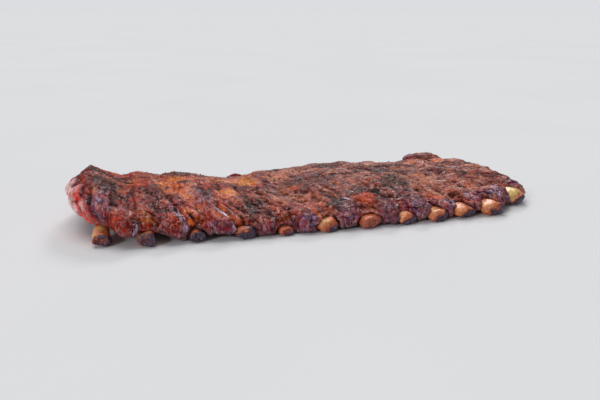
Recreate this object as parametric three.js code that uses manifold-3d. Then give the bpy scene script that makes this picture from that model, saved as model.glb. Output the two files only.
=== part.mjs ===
// A smoked rack of pork ribs: one slab of meat with twelve rib bones running through it.
// Millimetres, +Z up. X runs along the rack from its thick cut end to its thin end, Y runs from the
// exposed bone tips at the front to the back edge, and the bone ends rest on Z = 0.

import * as THREE from 'three';
import { ParametricGeometry } from 'three/addons/geometries/ParametricGeometry.js';
import { mergeVertices } from 'three/addons/utils/BufferGeometryUtils.js';
import Module from 'manifold-3d';

// ---- the slab of meat ------------------------------------------------------------------------

// Its outline in plan and its heights, as [x, value] stations joined by smooth steps.
const LEFT_X = -191;                 // plane of the cut end, before it bulges
const RIGHT_X = 205;                 // tip of the thin end
const FRONT_EDGE = [[-191, -48], [-184, -52], [-175, -61], [-167, -68], [-140, -69], [-68, -75], [0, -77],
	[65, -76], [95, -72.5], [120, -69.5], [150, -67], [172, -59], [190, -55], [205, -54]];
const BACK_EDGE = [[-191, 64], [-150, 66], [-110, 64], [-58, 53], [-10, 59], [60, 64],
	[120, 64], [165, 68], [205, 68]];
const CREST = [[-191, 39], [-181, 40], [-150, 30], [-100, 28], [-58, 23], [-20, 25],
	[40, 28], [85, 26], [110, 22], [135, 24], [165, 23], [190, 20.5], [205, 22]];
const FRONT_HEM = [[-191, 9], [-177, 12], [-164, 9.5], [-134, 9.5], [-118, 4], [-104, 2.5], [-92, 6.5],
	[-70, 5], [-50, 3.5], [-20, 1.5], [30, 3], [70, 5], [100, 5.5], [150, 6], [205, 6.5]];
const BACK_HEM = 5;                  // height of the lowest meat along the back edge
const MEAT_FLOOR = 0.6;              // the meat stays this far above the resting bones
const FRONT_DROP = 6;                // the top falls this far from its crest to the front edge

// The underside arches between its hems: [share of the width where it starts, width of the rise].
const ARCH_RISE = 8;
const ARCH_FRONT = [0.08, 0.32];
const ARCH_BACK = [0.05, 0.3];

// The section's widest line, as a share of its height, and the powers that square its corners.
const WAIST = 0.42;
const TOP_POWER = { across: 0.72, up: 0.74 };
const UNDER_POWER = { front: 0.28, back: 0.5, up: 0.45 };

// The cut end bulges outwards. It stands further back at its front and back corners, at its foot,
// which is below a height, and at its brow, which is above one.
const CUT_BULGE = { out: 6.5, middleY: -6, swingPower: 1.7 };
const CUT_FRONT = { swing: 9, reach: 42 };
const CUT_BACK = { swing: 12, reach: 72 };
const CUT_FOOT = { depth: 6.5, below: 30, height: 20 };
const CUT_BROW = { depth: 5, above: 30, height: 10 };
const CUT_FADE = 42;                 // the bulge fades out over this length
const CUT_ROUND = { depth: 12, out: 0.8, girth: 0.5 };

// The thin end runs back towards the middle of the rack.
const THIN_SLANT = 0.17;
const THIN_SLANT_Y = -52;            // where the slant leaves the end in place
const THIN_FADE = 60;
const THIN_ROUND = { depth: 11, out: 1, girth: 0.5 };

// Lobes of meat swell out between the bones along the front edge, and less along the back edge.
const LOBE_OUT = [[-142, 6], [-90, 6], [-50, 6.5], [0, 7], [60, 8.5], [90, 11], [150, 12.5], [178, 9]];
const LOBE_HANG = 3;
const LOBE_SAG_OUT = 4;              // how much further out a lobe stands low down
const LOBE_FRONT = { above: 0.5, below: 0.35, run: 0.4 };    // the cosine of the turn where it starts
const LOBE_BACK_OUT = 2.5;
const LOBE_BACK = { start: 0.5, run: 0.5 };
const LOBE_FULLNESS = 0.75;          // lower is fuller, with a tighter fold over each bone
const LOBE_MARGIN = 0.15;            // share of the rib spacing that stays drawn in beside each bone
const RIDGE = 0.8;                   // the top is faintly raised over each bone

// Crags in the crust: [wavelength, height]. The underside is smoother.
const CRAGS = [[31, 1.7], [14, 1.4]];
const UNDERSIDE_CALM = 0.6;

// ---- the ribs --------------------------------------------------------------------------------

// The x and y of each front tip, the widths of its knob and of its shaft, and height against width.
const RIBS = [
	{ x: -175.0, y: -66.0, knob: 14.5, shaft: 9.5, flatness: 0.68 },
	{ x: -142.5, y: -76.0, knob: 14.0, shaft: 10.5, flatness: 0.68 },
	{ x: -104.8, y: -77.5, knob: 14.0, shaft: 11.0, flatness: 0.66 },
	{ x: -68.3, y: -80.5, knob: 17.0, shaft: 11.5, flatness: 0.54 },
	{ x: -36.3, y: -82.5, knob: 13.0, shaft: 11.0, flatness: 0.56 },
	{ x: -2.3, y: -84.0, knob: 18.0, shaft: 12.0, flatness: 0.60 },
	{ x: 33.8, y: -85.0, knob: 18.5, shaft: 12.0, flatness: 0.56 },
	{ x: 65.5, y: -85.0, knob: 17.5, shaft: 12.0, flatness: 0.50 },
	{ x: 94.5, y: -85.0, knob: 19.0, shaft: 12.0, flatness: 0.54 },
	{ x: 120.5, y: -84.5, knob: 19.0, shaft: 12.0, flatness: 0.56 },
	{ x: 147.0, y: -84.0, knob: 21.0, shaft: 12.0, flatness: 0.56 },
	{ x: 183.0, y: -63.0, knob: 22.0, shaft: 13.0, flatness: 0.56 },
];
const FRONT_LINE = -75;              // y at which the rib spacing is stated
const RIB_LEAN = -0.03;              // sideways run of a rib for each mm towards the back edge
const RIB_FAN = -0.00068;            // how that run changes along the rack: the ribs close up
const RIB_REACH = 145;               // distance from the front line to the back edge
const RIB_RISE = [[-175, 13], [-142, 8], [-105, 5]];         // arch of a rib above its ends, by its x
const RIB_RISE_START = 6;            // the arch starts this far behind the tip
const TIP_LIFT = [[147, 0], [183, 2]];                       // the last tip is off the ground
const TIP_LENGTH = 6;                // length over which the blunt front tip rounds off
const TIP_SIZE = 0.72;               // size of the tip's end face against the knob
const KNOB_START = 4;
const KNOB_LENGTH = 24;              // length over which the knob runs out into the shaft
const SAWN_HALF_HEIGHT = 5;          // the sawn back end
const SAWN_FLARE = 2;                // how much wider than the shaft it is
const SAWN_START = 0.7;              // where along the rib the flare starts
const SAWN_PROUD = 3;                // how far it stands out of the meat
const CLEARANCE = 0.3;               // gap between bone and meat

// ---- trimmings on the back edge --------------------------------------------------------------

// A loose curl of meat, and a small scorched tag: tapered rolls from one point to another.
const CURL = { from: [127, 56, 21], to: [174, 60, 17.5], radius: 7, sag: 0.5 };
const TAG = { from: [-57, 52, 17], to: [-41, 53, 17], radius: 2.6, sag: 0.5 };
const ROLL_BLUNTNESS = 0.35;
const ROLL_WIDTH = 1.2;              // width of a roll against its height

// The middle of the rack's box in these coordinates: it becomes the part's origin.
const MIDDLE = { x: 1, y: -7 };

// ---- mesh counts -----------------------------------------------------------------------------

const MEAT_ROWS = 76;
const MEAT_CAP_ROWS = 5;
const MEAT_AROUND = 36;
const RIB_ROWS = 15;
const RIB_TIP_ROWS = 4;
const RIB_AROUND = 10;
const ROLL_ROWS = 10;
const ROLL_AROUND = 10;
const FACET = Math.cos(Math.PI / RIB_AROUND);        // a rib rests on one flat of its section
const MERGE_DISTANCE = 1e-4;

// ---- materials -------------------------------------------------------------------------------

const crust = new THREE.MeshStandardMaterial({ color: 0x6b3b2c, roughness: 0.42, metalness: 0 });
const bone = new THREE.MeshStandardMaterial({ color: 0xb98552, roughness: 0.55, metalness: 0 });

// ---- small functions -------------------------------------------------------------------------

const { clamp, lerp } = THREE.MathUtils;

const smooth = (value) => {
	const t = clamp(value, 0, 1);
	return t * t * (3 - 2 * t);
};

const signedPower = (value, power) => Math.sign(value) * Math.abs(value) ** power;

// A value along the rack, from its stations.
function along(stations, x) {
	if (x <= stations[0][0]) return stations[0][1];
	for (let i = 1; i < stations.length; i++) {
		const [x0, value0] = stations[i - 1];
		const [x1, value1] = stations[i];
		if (x <= x1) return lerp(value0, value1, smooth((x - x0) / (x1 - x0)));
	}
	return stations[stations.length - 1][1];
}

// A repeatable random value from -1 to 1 at each point of a cubic lattice.
function latticeValue(i, j, k) {
	let hash = Math.imul(i, 374761393) ^ Math.imul(j, 668265263) ^ Math.imul(k, 1442695041);
	hash = Math.imul(hash ^ (hash >>> 13), 1274126177);
	return ((hash ^ (hash >>> 16)) >>> 0) / 2147483647.5 - 1;
}

// Smooth noise between -1 and 1.
function noise(x, y, z) {
	const [i, j, k] = [Math.floor(x), Math.floor(y), Math.floor(z)];
	const [u, v, w] = [smooth(x - i), smooth(y - j), smooth(z - k)];
	let sum = 0;
	for (let corner = 0; corner < 8; corner++) {
		const [a, b, c] = [corner & 1, (corner >> 1) & 1, corner >> 2];
		const weight = (a ? u : 1 - u) * (b ? v : 1 - v) * (c ? w : 1 - w);
		sum += weight * latticeValue(i + a, j + b, k + c);
	}
	return sum;
}

function crags(x, y, z) {
	return CRAGS.reduce((height, [size, rise]) => height + rise * noise(x / size, y / size, z / size), 0);
}

// ---- how the ribs lie ------------------------------------------------------------------------

const ribLean = (x) => RIB_LEAN + RIB_FAN * x;

// Where the rib line through a point meets the front line.
function ribLine(x, y) {
	const back = y - FRONT_LINE;
	return (x - RIB_LEAN * back) / (1 + RIB_FAN * back);
}

// 0 over a rib and 1 halfway between two ribs.
function betweenRibs(x, y) {
	const line = ribLine(x, y);
	const right = RIBS.findIndex((rib) => rib.x > line);
	if (right < 1) return 0;
	const share = (line - RIBS[right - 1].x) / (RIBS[right].x - RIBS[right - 1].x);
	const pastBone = clamp((share - LOBE_MARGIN) / (1 - 2 * LOBE_MARGIN), 0, 1);
	return Math.sin(Math.PI * pastBone) ** LOBE_FULLNESS;
}

// ---- the meat --------------------------------------------------------------------------------

// Where a row of points stands along the rack, and how full the section is there.
function meatStation(row) {
	const left = LEFT_X + CUT_ROUND.depth;
	const right = RIGHT_X - THIN_ROUND.depth;
	if (row < MEAT_CAP_ROWS) return roundedEnd(left, -1, CUT_ROUND, row);
	if (row > MEAT_ROWS - MEAT_CAP_ROWS) return roundedEnd(right, 1, THIN_ROUND, MEAT_ROWS - row);
	const share = (row - MEAT_CAP_ROWS) / (MEAT_ROWS - 2 * MEAT_CAP_ROWS);
	return { x: lerp(left, right, share), girth: 1 };
}

function roundedEnd(x, side, round, rowsFromTip) {
	const angle = (rowsFromTip / MEAT_CAP_ROWS) * (Math.PI / 2);
	const out = Math.abs(Math.cos(angle)) ** round.out;
	return { x: x + side * round.depth * out, girth: Math.sin(angle) ** round.girth };
}

// Height of the underside, at a share of the width from the front edge.
function underside(x, share) {
	const hem = lerp(along(FRONT_HEM, x), BACK_HEM, share);
	const front = smooth((share - ARCH_FRONT[0]) / ARCH_FRONT[1]);
	const back = smooth((1 - ARCH_BACK[0] - share) / ARCH_BACK[1]);
	return { hem, floor: hem + ARCH_RISE * front * back };
}

// The bulge of the cut end and the slant of the thin end, fading out towards the middle.
function endShift(x, y, z) {
	const nearCut = smooth((LEFT_X + CUT_FADE - x) / CUT_FADE);
	const nearThin = smooth((x - RIGHT_X + THIN_FADE) / THIN_FADE);
	const fromMiddle = y - CUT_BULGE.middleY;
	const side = fromMiddle < 0 ? CUT_FRONT : CUT_BACK;
	const swing = side.swing * Math.min(Math.abs(fromMiddle) / side.reach, 1) ** CUT_BULGE.swingPower;
	const foot = CUT_FOOT.depth * smooth((CUT_FOOT.below - z) / CUT_FOOT.height);
	const brow = CUT_BROW.depth * smooth((z - CUT_BROW.above) / CUT_BROW.height);
	return nearCut * (swing + foot + brow - CUT_BULGE.out) - nearThin * THIN_SLANT * (y - THIN_SLANT_Y);
}

// A point on the slab's outer surface: row runs along the rack, turn runs around it.
function meatPoint(row, turn, target) {
	const { x: stationX, girth } = meatStation(row);
	const [across, up] = [Math.cos(turn), Math.sin(turn)];
	const underPower = across < 0 ? UNDER_POWER.front : UNDER_POWER.back;
	const front = along(FRONT_EDGE, stationX);
	const back = along(BACK_EDGE, stationX);
	const halfWidth = ((back - front) / 2) * girth;
	let y = (front + back) / 2 + halfWidth * signedPower(across, up > 0 ? TOP_POWER.across : underPower);

	const share = clamp((y - front) / (back - front), 0, 1);
	const { hem, floor } = underside(stationX, share);
	const crest = along(CREST, stationX) - FRONT_DROP * (1 - share) ** 2;
	const waist = lerp(hem, crest, WAIST);
	const reach = (up > 0 ? crest - waist : waist - floor) * girth;
	let z = waist + reach * signedPower(up, up > 0 ? TOP_POWER.up : UNDER_POWER.up);

	const lobe = betweenRibs(stationX, y) * girth;
	const frontStart = up > 0 ? LOBE_FRONT.above : LOBE_FRONT.below;
	const nearFront = smooth((-across - frontStart) / LOBE_FRONT.run);
	const nearBack = smooth((across - LOBE_BACK.start) / LOBE_BACK.run);
	const lobeOut = along(LOBE_OUT, stationX) + LOBE_SAG_OUT * smooth(-up);
	y += lobe * (LOBE_BACK_OUT * nearBack - lobeOut * nearFront);
	z -= lobe * LOBE_HANG * nearFront * smooth(-up);
	z += (girth - 2 * lobe) * RIDGE * smooth(up);

	const x = stationX + endShift(stationX, y, z);
	const relief = crags(x, y, z) * (1 - UNDERSIDE_CALM * smooth(-1.5 * up));
	target.x = x + relief * (1 - girth) * Math.sign(stationX);
	target.y = y + relief * across * girth;
	target.z = Math.max(z + relief * up * girth, MEAT_FLOOR);
}

// ---- the ribs and the rolls ------------------------------------------------------------------

const ribBackY = (rib) => along(BACK_EDGE, rib.x + ribLean(rib.x) * RIB_REACH) + SAWN_PROUD;

// A point on a rib: run is the distance back from its front tip, turn goes around it.
function ribPoint(rib, run, turn, swell, target) {
	const length = ribBackY(rib) - rib.y;
	const share = run / length;
	const roundOff = Math.sqrt(1 - Math.max(0, 1 - run / TIP_LENGTH) ** 2);
	const size = lerp(TIP_SIZE, 1, roundOff);
	const knob = 1 - smooth((run - KNOB_START) / KNOB_LENGTH);
	const flare = smooth((share - SAWN_START) / (1 - SAWN_START));
	const halfWidth = (lerp(rib.shaft, rib.knob, knob) + SAWN_FLARE * flare) / 2;
	const halfHeight = lerp(halfWidth * rib.flatness, SAWN_HALF_HEIGHT, flare);
	const arch = Math.sin(Math.PI * clamp((run - RIB_RISE_START) / (length - RIB_RISE_START), 0, 1));
	const tipHeight = (rib.knob * rib.flatness) / 2 + along(TIP_LIFT, rib.x);
	const centre = lerp(tipHeight, SAWN_HALF_HEIGHT, share) + along(RIB_RISE, rib.x) * arch;
	const z = centre + ((halfHeight * size + swell) * Math.sin(turn)) / FACET;
	target.x = rib.x + ribLean(rib.x) * run - (halfWidth * size + swell) * Math.cos(turn);
	target.y = rib.y + run;
	target.z = swell > 0 ? z : Math.max(z, 0);
}

// A point on a roll: share runs along it, turn goes around it.
function rollPoint(roll, share, turn, target) {
	const bulge = Math.sin(Math.PI * share);
	const radius = roll.radius * Math.max(bulge, 0) ** ROLL_BLUNTNESS;
	const [x, y, z] = roll.from.map((value, axis) => lerp(value, roll.to[axis], share));
	target.x = x;
	target.y = y + ROLL_WIDTH * radius * Math.cos(turn);
	target.z = z + roll.sag * bulge + radius * Math.sin(turn);
}

// ---- solids ----------------------------------------------------------------------------------

const wasm = await Module();
wasm.setup();

// A closed solid from a function of a row and a turn. Open ends are closed by fans.
function closedSolid(pointAt, rows, around, openEnds) {
	const wall = new ParametricGeometry((u, v, target) => {
		const step = Math.round(u * around) % around;
		pointAt(Math.round(v * rows), step * ((2 * Math.PI) / around), target);
	}, around, rows);
	const positions = Array.from(wall.getAttribute('position').array);
	const faces = Array.from(wall.index.array);
	if (openEnds) addEndFans(positions, faces, rows, around);
	return toManifold(positions, faces);
}

function addEndFans(positions, faces, rows, around) {
	for (const row of [0, rows]) {
		const start = row * (around + 1);
		const hub = positions.length / 3;
		const centre = new THREE.Vector3();
		for (let j = 0; j < around; j++) {
			const next = start + j + 1;
			centre.add(new THREE.Vector3().fromArray(positions, 3 * (start + j)));
			faces.push(...(row === 0 ? [next, start + j, hub] : [start + j, next, hub]));
		}
		centre.divideScalar(around);
		positions.push(centre.x, centre.y, centre.z);
	}
}

// Shared points are merged, and triangles that fold to a line are dropped.
function toManifold(positions, faces) {
	const loose = new THREE.BufferGeometry();
	loose.setAttribute('position', new THREE.Float32BufferAttribute(positions, 3));
	loose.setIndex(faces);
	const merged = mergeVertices(loose, MERGE_DISTANCE);
	const index = merged.index.array;
	const kept = [];
	for (let i = 0; i < index.length; i += 3) {
		const [a, b, c] = [index[i], index[i + 1], index[i + 2]];
		if (a !== b && b !== c && c !== a) kept.push(a, b, c);
	}
	return new wasm.Manifold(new wasm.Mesh({
		numProp: 3,
		vertProperties: merged.getAttribute('position').array,
		triVerts: new Uint32Array(kept),
	}));
}

function toGeometry(solid) {
	const mesh = solid.getMesh();
	const geometry = new THREE.BufferGeometry();
	geometry.setAttribute('position', new THREE.BufferAttribute(mesh.vertProperties, mesh.numProp));
	geometry.setIndex(Array.from(mesh.triVerts));
	geometry.computeVertexNormals();
	return geometry;
}

// A rib, swollen all round and run past its back end where it cuts its channel in the meat.
function ribSolid(rib, swell) {
	const overrun = swell > 0 ? 2 * SAWN_PROUD : 0;
	const shaftLength = ribBackY(rib) - rib.y - TIP_LENGTH + overrun;
	return closedSolid((row, turn, target) => {
		const tipAngle = (Math.min(row / RIB_TIP_ROWS, 1) * Math.PI) / 2;
		const shaftShare = Math.max(0, row - RIB_TIP_ROWS) / (RIB_ROWS - RIB_TIP_ROWS);
		const run = TIP_LENGTH * (1 - Math.cos(tipAngle)) + shaftLength * shaftShare;
		ribPoint(rib, run, turn, swell, target);
	}, RIB_ROWS, RIB_AROUND, true);
}

const rollSolid = (roll) => closedSolid((row, turn, target) => {
	rollPoint(roll, row / ROLL_ROWS, turn, target);
}, ROLL_ROWS, ROLL_AROUND, false);

// The largest piece of a solid, without scraps that a cut leaves loose.
function mainBody(solid) {
	return solid.decompose().reduce((best, piece) => (piece.volume() > best.volume() ? piece : best));
}

function meatSolid() {
	const slab = closedSolid(meatPoint, MEAT_ROWS, MEAT_AROUND, false);
	const trimmed = slab.add(rollSolid(CURL)).add(rollSolid(TAG));
	return mainBody(RIBS.reduce((solid, rib) => solid.subtract(ribSolid(rib, CLEARANCE)), trimmed));
}

// ---- the rack --------------------------------------------------------------------------------

const rack = new THREE.Group();
rack.position.set(-MIDDLE.x, -MIDDLE.y, 0);

function addPiece(name, solid, material) {
	const mesh = new THREE.Mesh(toGeometry(solid), material);
	mesh.name = name;
	rack.add(mesh);
}

addPiece('meat', meatSolid(), crust);
RIBS.forEach((rib, i) => {
	addPiece(`rib_bone_${String(i + 1).padStart(2, '0')}`, ribSolid(rib, 0), bone);
});

export default rack;
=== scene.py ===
import math
from collections import namedtuple

import bmesh
import bpy
import numpy as np
from bpy.props import FloatProperty, FloatVectorProperty, IntProperty, PointerProperty
from mathutils import Euler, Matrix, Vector
from mathutils.bvhtree import BVHTree


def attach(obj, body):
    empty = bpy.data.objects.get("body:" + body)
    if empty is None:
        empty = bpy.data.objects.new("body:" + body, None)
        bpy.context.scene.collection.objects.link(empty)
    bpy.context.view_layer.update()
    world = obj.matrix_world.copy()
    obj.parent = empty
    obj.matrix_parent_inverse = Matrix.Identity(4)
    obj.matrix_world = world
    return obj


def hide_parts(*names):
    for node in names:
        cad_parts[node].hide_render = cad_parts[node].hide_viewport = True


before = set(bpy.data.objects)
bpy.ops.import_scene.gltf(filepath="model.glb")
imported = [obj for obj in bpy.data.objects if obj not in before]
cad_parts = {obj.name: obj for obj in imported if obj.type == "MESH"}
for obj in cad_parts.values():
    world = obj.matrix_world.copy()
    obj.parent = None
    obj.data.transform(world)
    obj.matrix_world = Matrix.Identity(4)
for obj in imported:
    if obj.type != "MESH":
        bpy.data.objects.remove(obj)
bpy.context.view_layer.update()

bl_info = {
    "name": "Rack of Ribs",
    "version": (1, 0, 0),
    "blender": (4, 5, 0),
    "location": "View3D > Sidebar > Rack of Ribs",
    "description": "Builds a smoked rack of pork ribs with its rub and silver skin, and a plain stage",
    "category": "Add Mesh",
}

# Lengths below are in millimetres, in the coordinates of the solids, unless a property says otherwise.
# X runs along the rack, Y from the bone tips at the front to the back edge, and Z is up.
MM = 0.001
MIDDLE = np.array([1.0, -7.0, 0.0])     # the origin of the frame, within 1 mm of the box's middle
BODY = "root"

# ---- the slab, by the same sizes as its solid -------------------------------------------------

LEFT_X, RIGHT_X = -191.0, 205.0
FRONT_EDGE = [
    (-191, -48), (-184, -52), (-175, -61), (-167, -68), (-140, -69), (-68, -75), (0, -77), (65, -76),
    (95, -72.5), (120, -69.5), (150, -67), (172, -59), (190, -55), (205, -54),
]
BACK_EDGE = [
    (-191, 64), (-150, 66), (-110, 64), (-58, 53), (-10, 59), (60, 64), (120, 64), (165, 68), (205, 68),
]
CREST = [
    (-191, 39), (-181, 40), (-150, 30), (-100, 28), (-58, 23), (-20, 25), (40, 28), (85, 26), (110, 22),
    (135, 24), (165, 23), (190, 20.5), (205, 22),
]
FRONT_HEM = [
    (-191, 9), (-177, 12), (-164, 9.5), (-134, 9.5), (-118, 4), (-104, 2.5), (-92, 6.5), (-70, 5),
    (-50, 3.5), (-20, 1.5), (30, 3), (70, 5), (100, 5.5), (150, 6), (205, 6.5),
]
BACK_HEM = 5
MEAT_FLOOR = 0.6
FRONT_DROP = 6
ARCH_RISE = 8
ARCH_FRONT = (0.08, 0.32)
ARCH_BACK = (0.05, 0.3)
WAIST = 0.42
TOP_POWER = {"across": 0.72, "up": 0.74}
UNDER_POWER = {"front": 0.28, "back": 0.5, "up": 0.45}
CUT_BULGE_OUT, CUT_BULGE_Y, CUT_SWING_POWER = 6.5, -6, 1.7
CUT_FRONT_SWING, CUT_FRONT_REACH = 9, 42
CUT_BACK_SWING, CUT_BACK_REACH = 12, 72
CUT_FOOT = {"depth": 6.5, "below": 30, "height": 20}
CUT_BROW = {"depth": 5, "above": 30, "height": 10}
CUT_FADE = 42
CUT_ROUND = {"depth": 12, "out": 0.8, "girth": 0.5}
THIN_SLANT, THIN_SLANT_Y, THIN_FADE = 0.17, -52, 60
THIN_ROUND = {"depth": 11, "out": 1, "girth": 0.5}
LOBE_OUT = [(-142, 6), (-90, 6), (-50, 6.5), (0, 7), (60, 8.5), (90, 11), (150, 12.5), (178, 9)]
LOBE_HANG = 3
LOBE_SAG_OUT = 4
LOBE_FRONT = {"above": 0.5, "below": 0.35, "run": 0.4}
LOBE_BACK_OUT = 2.5
LOBE_BACK = {"start": 0.5, "run": 0.5}
LOBE_FULLNESS = 0.75
LOBE_MARGIN = 0.15
RIDGE = 0.8
CRAGS = [(31, 1.7), (14, 1.4)]
UNDERSIDE_CALM = 0.6
ROWS, CAP_ROWS = 76, 5                  # the row numbers of the solid, which the fine rows pass between

# ---- the ribs ---------------------------------------------------------------------------------

# Front tip x and y, width of knob and of shaft, height against width, then the looks: tone from
# ivory (0) to red brown (1), length of the scorched tip, how far the scorch leans to the lower right,
# where it also paints the shaded side darker, and how much it covers there.
Rib = namedtuple("Rib", "x y knob shaft flatness tone scorch lean cover")
RIBS = [
    Rib(-175.0, -66.0, 14.5, 9.5, 0.68, 0.46, 4.5, 0.30, 0.2),
    Rib(-142.5, -76.0, 14.0, 10.5, 0.68, 0.52, 5.0, 0.30, 0.3),
    Rib(-104.8, -77.5, 14.0, 11.0, 0.66, 0.70, 7.0, 0.40, 0.4),
    Rib(-68.3, -80.5, 17.0, 11.5, 0.54, 0.72, 9.0, 0.70, 0.55),
    Rib(-36.3, -82.5, 13.0, 11.0, 0.56, 0.78, 6.0, 0.80, 0.0),
    Rib(-2.3, -84.0, 18.0, 12.0, 0.60, 0.54, 7.0, 0.90, -0.15),
    Rib(33.8, -85.0, 18.5, 12.0, 0.56, 0.84, 5.0, 0.90, -0.2),
    Rib(65.5, -85.0, 17.5, 12.0, 0.50, 0.60, 11.0, 0.90, 0.3),
    Rib(94.5, -85.0, 19.0, 12.0, 0.54, 0.56, 10.0, 0.90, 0.0),
    Rib(120.5, -84.5, 19.0, 12.0, 0.56, 0.60, 10.0, 0.90, 0.0),
    Rib(147.0, -84.0, 21.0, 12.0, 0.56, 0.54, 10.0, 0.90, 0.0),
    Rib(183.0, -63.0, 22.0, 13.0, 0.56, 0.20, 9.0, 0.90, -0.1),
]
RIB_X = np.array([rib.x for rib in RIBS])
FRONT_LINE = -75
RIB_LEAN, RIB_FAN = -0.03, -0.00068
RIB_REACH = 145
RIB_RISE, RIB_RISE_START = [(-175, 13), (-142, 8), (-105, 5)], 6
TIP_LIFT = [(147, 0), (183, 2)]
TIP_LENGTH, TIP_SIZE = 6, 0.72
KNOB_START, KNOB_LENGTH = 4, 24
SAWN_HALF_HEIGHT, SAWN_FLARE, SAWN_START, SAWN_PROUD = 5, 2, 0.7, 3
CLEARANCE = 0.25

# Trimmings on the back edge: start, end, radius and sag of each roll.
CURL = ((127, 56, 21), (174, 60, 17.5), 7, 0.5)
TAG = ((-57, 52, 17), (-41, 53, 17), 2.6, 0.5)
ROLL_BLUNTNESS, ROLL_WIDTH = 0.35, 1.2

SEAM_SLANT, SEAM_REACH = 0.3, 60         # sideways run of the seams in the crust, and their length

# The rim between the crust and the sliced end: its place along the rack at the front and further back,
# where it passes from one to the other, and how softly the crust ends there.
CUT_RIM = {"front": -183.0, "back": -186.0, "turn": -16, "run": 30, "blur": 3}
# The groove along that rim: its place outside it, its width, and the height above which it shows.
GROOVE = {"out": 0.5, "width": 2.6, "above": 13, "fade": 8, "depth": 2.0}

# ---- how finely the meshes are laid -----------------------------------------------------------

DENSE_ROWS, DENSE_TURNS = 4001, 20001    # points of the paths that the steps are measured along
UNDERSIDE_STEP = 1.9                     # steps underneath the slab, against those on top
CREASE = math.radians(65)                # edges of the crust sharper than this stay sharp
BROAD_ROUNDS, FINE_ROUNDS = 24, 4        # rounds of smoothing for the heights of the crust
BONE_ROUNDS = 6                          # and for those of a bone
TIP_RINGS, END_RINGS = 12, 12            # rings over a bone's rounded tip, and inwards over each end
SHOWN_RUN, SAWN_RUN = 34, 8              # stretches with fine rings, behind the tip and at the back
HIDDEN_STEP = 3                          # steps of a bone inside the meat, against those in view
CHANNEL_TIP_RINGS, CHANNEL_RINGS = 9, 70
ROLL_RINGS, STRAND_RINGS = 46, 26
CHANNEL_TURNS, ROLL_TURNS, STRAND_TURNS = 44, 40, 12
ROLL_END = 0.02                          # angle before the pole at which a roll's rings stop
OWN_NOISE = 40.0                         # between one bone's place in the noise and the next one's

# ---- painted shade: what multiplies the colours of hollows, strokes and bone beside the meat ---

SUNK_SHADE_TINT, STROKE_SHADE_TINT = (0.11, 0.045, 0.05), (0.14, 0.06, 0.07)
HOLLOW_SHADE_TINT, BEDDED_STAIN_AND_SHADE_TINT = (0.2, 0.12, 0.1), (0.45, 0.16, 0.12)

# ---- where the crust changes its look, in the frame's millimetres -----------------------------

# Patches: x, y, z, half length along the rack, half length across it, strength.
CHAR_PATCHES = [
    (-169, -2, 36, 15, 28, 1.0), (-134, -8, 28, 12, 11, 0.5), (-91, -15, 24, 9, 8, 0.9),
    (-126, -50, 22, 6, 4, 0.9), (-43, -30, 20, 10, 12, 0.2), (-30, -14, 21, 14, 14, 0.5),
    (-8, -20, 22, 9, 8, 0.6), (20, 48, 25, 40, 12, 0.25), (42, -46, 20, 14, 8, 0.6),
    (80, -19, 22, 12, 20, 1.0), (117, -55, 15, 6, 5, 0.9), (89, -45, 19, 5, 4, 0.9),
    (132, -42, 19, 4, 3, 1.0), (112, 52, 25, 14, 6, 0.3), (200, -28, 18, 7, 13, 0.7),
    (8, -52, 17, 9, 6, 0.5), (60, -50, 18, 6, 4, 0.8), (-60, -40, 19, 10, 10, 0.25),
    (106, 6, 21, 7, 6, 0.5), (-150, 30, 30, 22, 10, 0.5), (-96, 44, 25, 20, 10, 0.45),
]
FAT_PATCHES = [
    (-112, 14, 27, 19, 24, 1.0), (-116, -12, 26, 10, 9, 0.9), (-84, 24, 22, 18, 18, 0.8),
    (-56, 28, 21, 17, 16, 1.0), (-73, -18, 22, 12, 9, 1.0), (-106, -16, 26, 8, 16, 0.9),
    (-46, 6, 21, 11, 6, 0.7), (-45, 14, 21, 10, 14, 1.0), (-20, -18, 21, 12, 5, 0.7),
    (33, -11, 25, 10, 9, 0.8), (136, 38, 23, 18, 10, 0.7), (150, 4, 22, 11, 7, 0.75),
    (168, -22, 21, 8, 9, 0.7), (62, 22, 26, 12, 6, 0.4), (114, -16, 21, 9, 10, 0.65),
    (-146, -50, 22, 12, 8, 0.5), (-166, 24, 36, 10, 10, 0.35), (44, -24, 23, 14, 5, 0.4),
    (96, -30, 20, 8, 8, 0.4),
]
HONEY_PATCHES = [
    (-51, 18, 21, 8, 13, 1.0), (-71, -14, 23, 9, 8, 1.0), (-108, 24, 27, 8, 8, 0.8),
]
RED_PATCHES = [
    (-142, -30, 27, 14, 10, 0.5), (-158, -22, 29, 9, 8, 1.0), (-122, -21, 25, 8, 5, 1.0),
    (-127, -55, 20, 10, 6, 0.8), (-149, -44, 24, 9, 8, 0.7), (58, -56, 19, 6, 3, 1.0),
    (75, -52, 18, 9, 6, 0.8), (-10, -54, 18, 9, 8, 0.2), (130, -8, 21, 10, 9, 0.45),
    (-36, -4, 22, 9, 4, 0.6), (-150, -66, 12, 10, 8, 0.6), (-104, -74, 8, 20, 6, 0.25),
    (160, -20, 21, 12, 8, 0.35), (132, 62, 26, 9, 10, 0.4), (176, -6, 21, 10, 8, 0.7),
    (184, -18, 20, 6, 5, 0.9), (-50, 60, 20, 11, 8, 1.0),
]
EMBER_PATCHES = [
    (33, -59, 18, 13, 7, 0.85), (102, -55, 15, 9, 7, 1.0), (-14, -20, 21, 8, 4, 0.5),
    (-124, -56, 20, 6, 4, 0.5),
]
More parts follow.
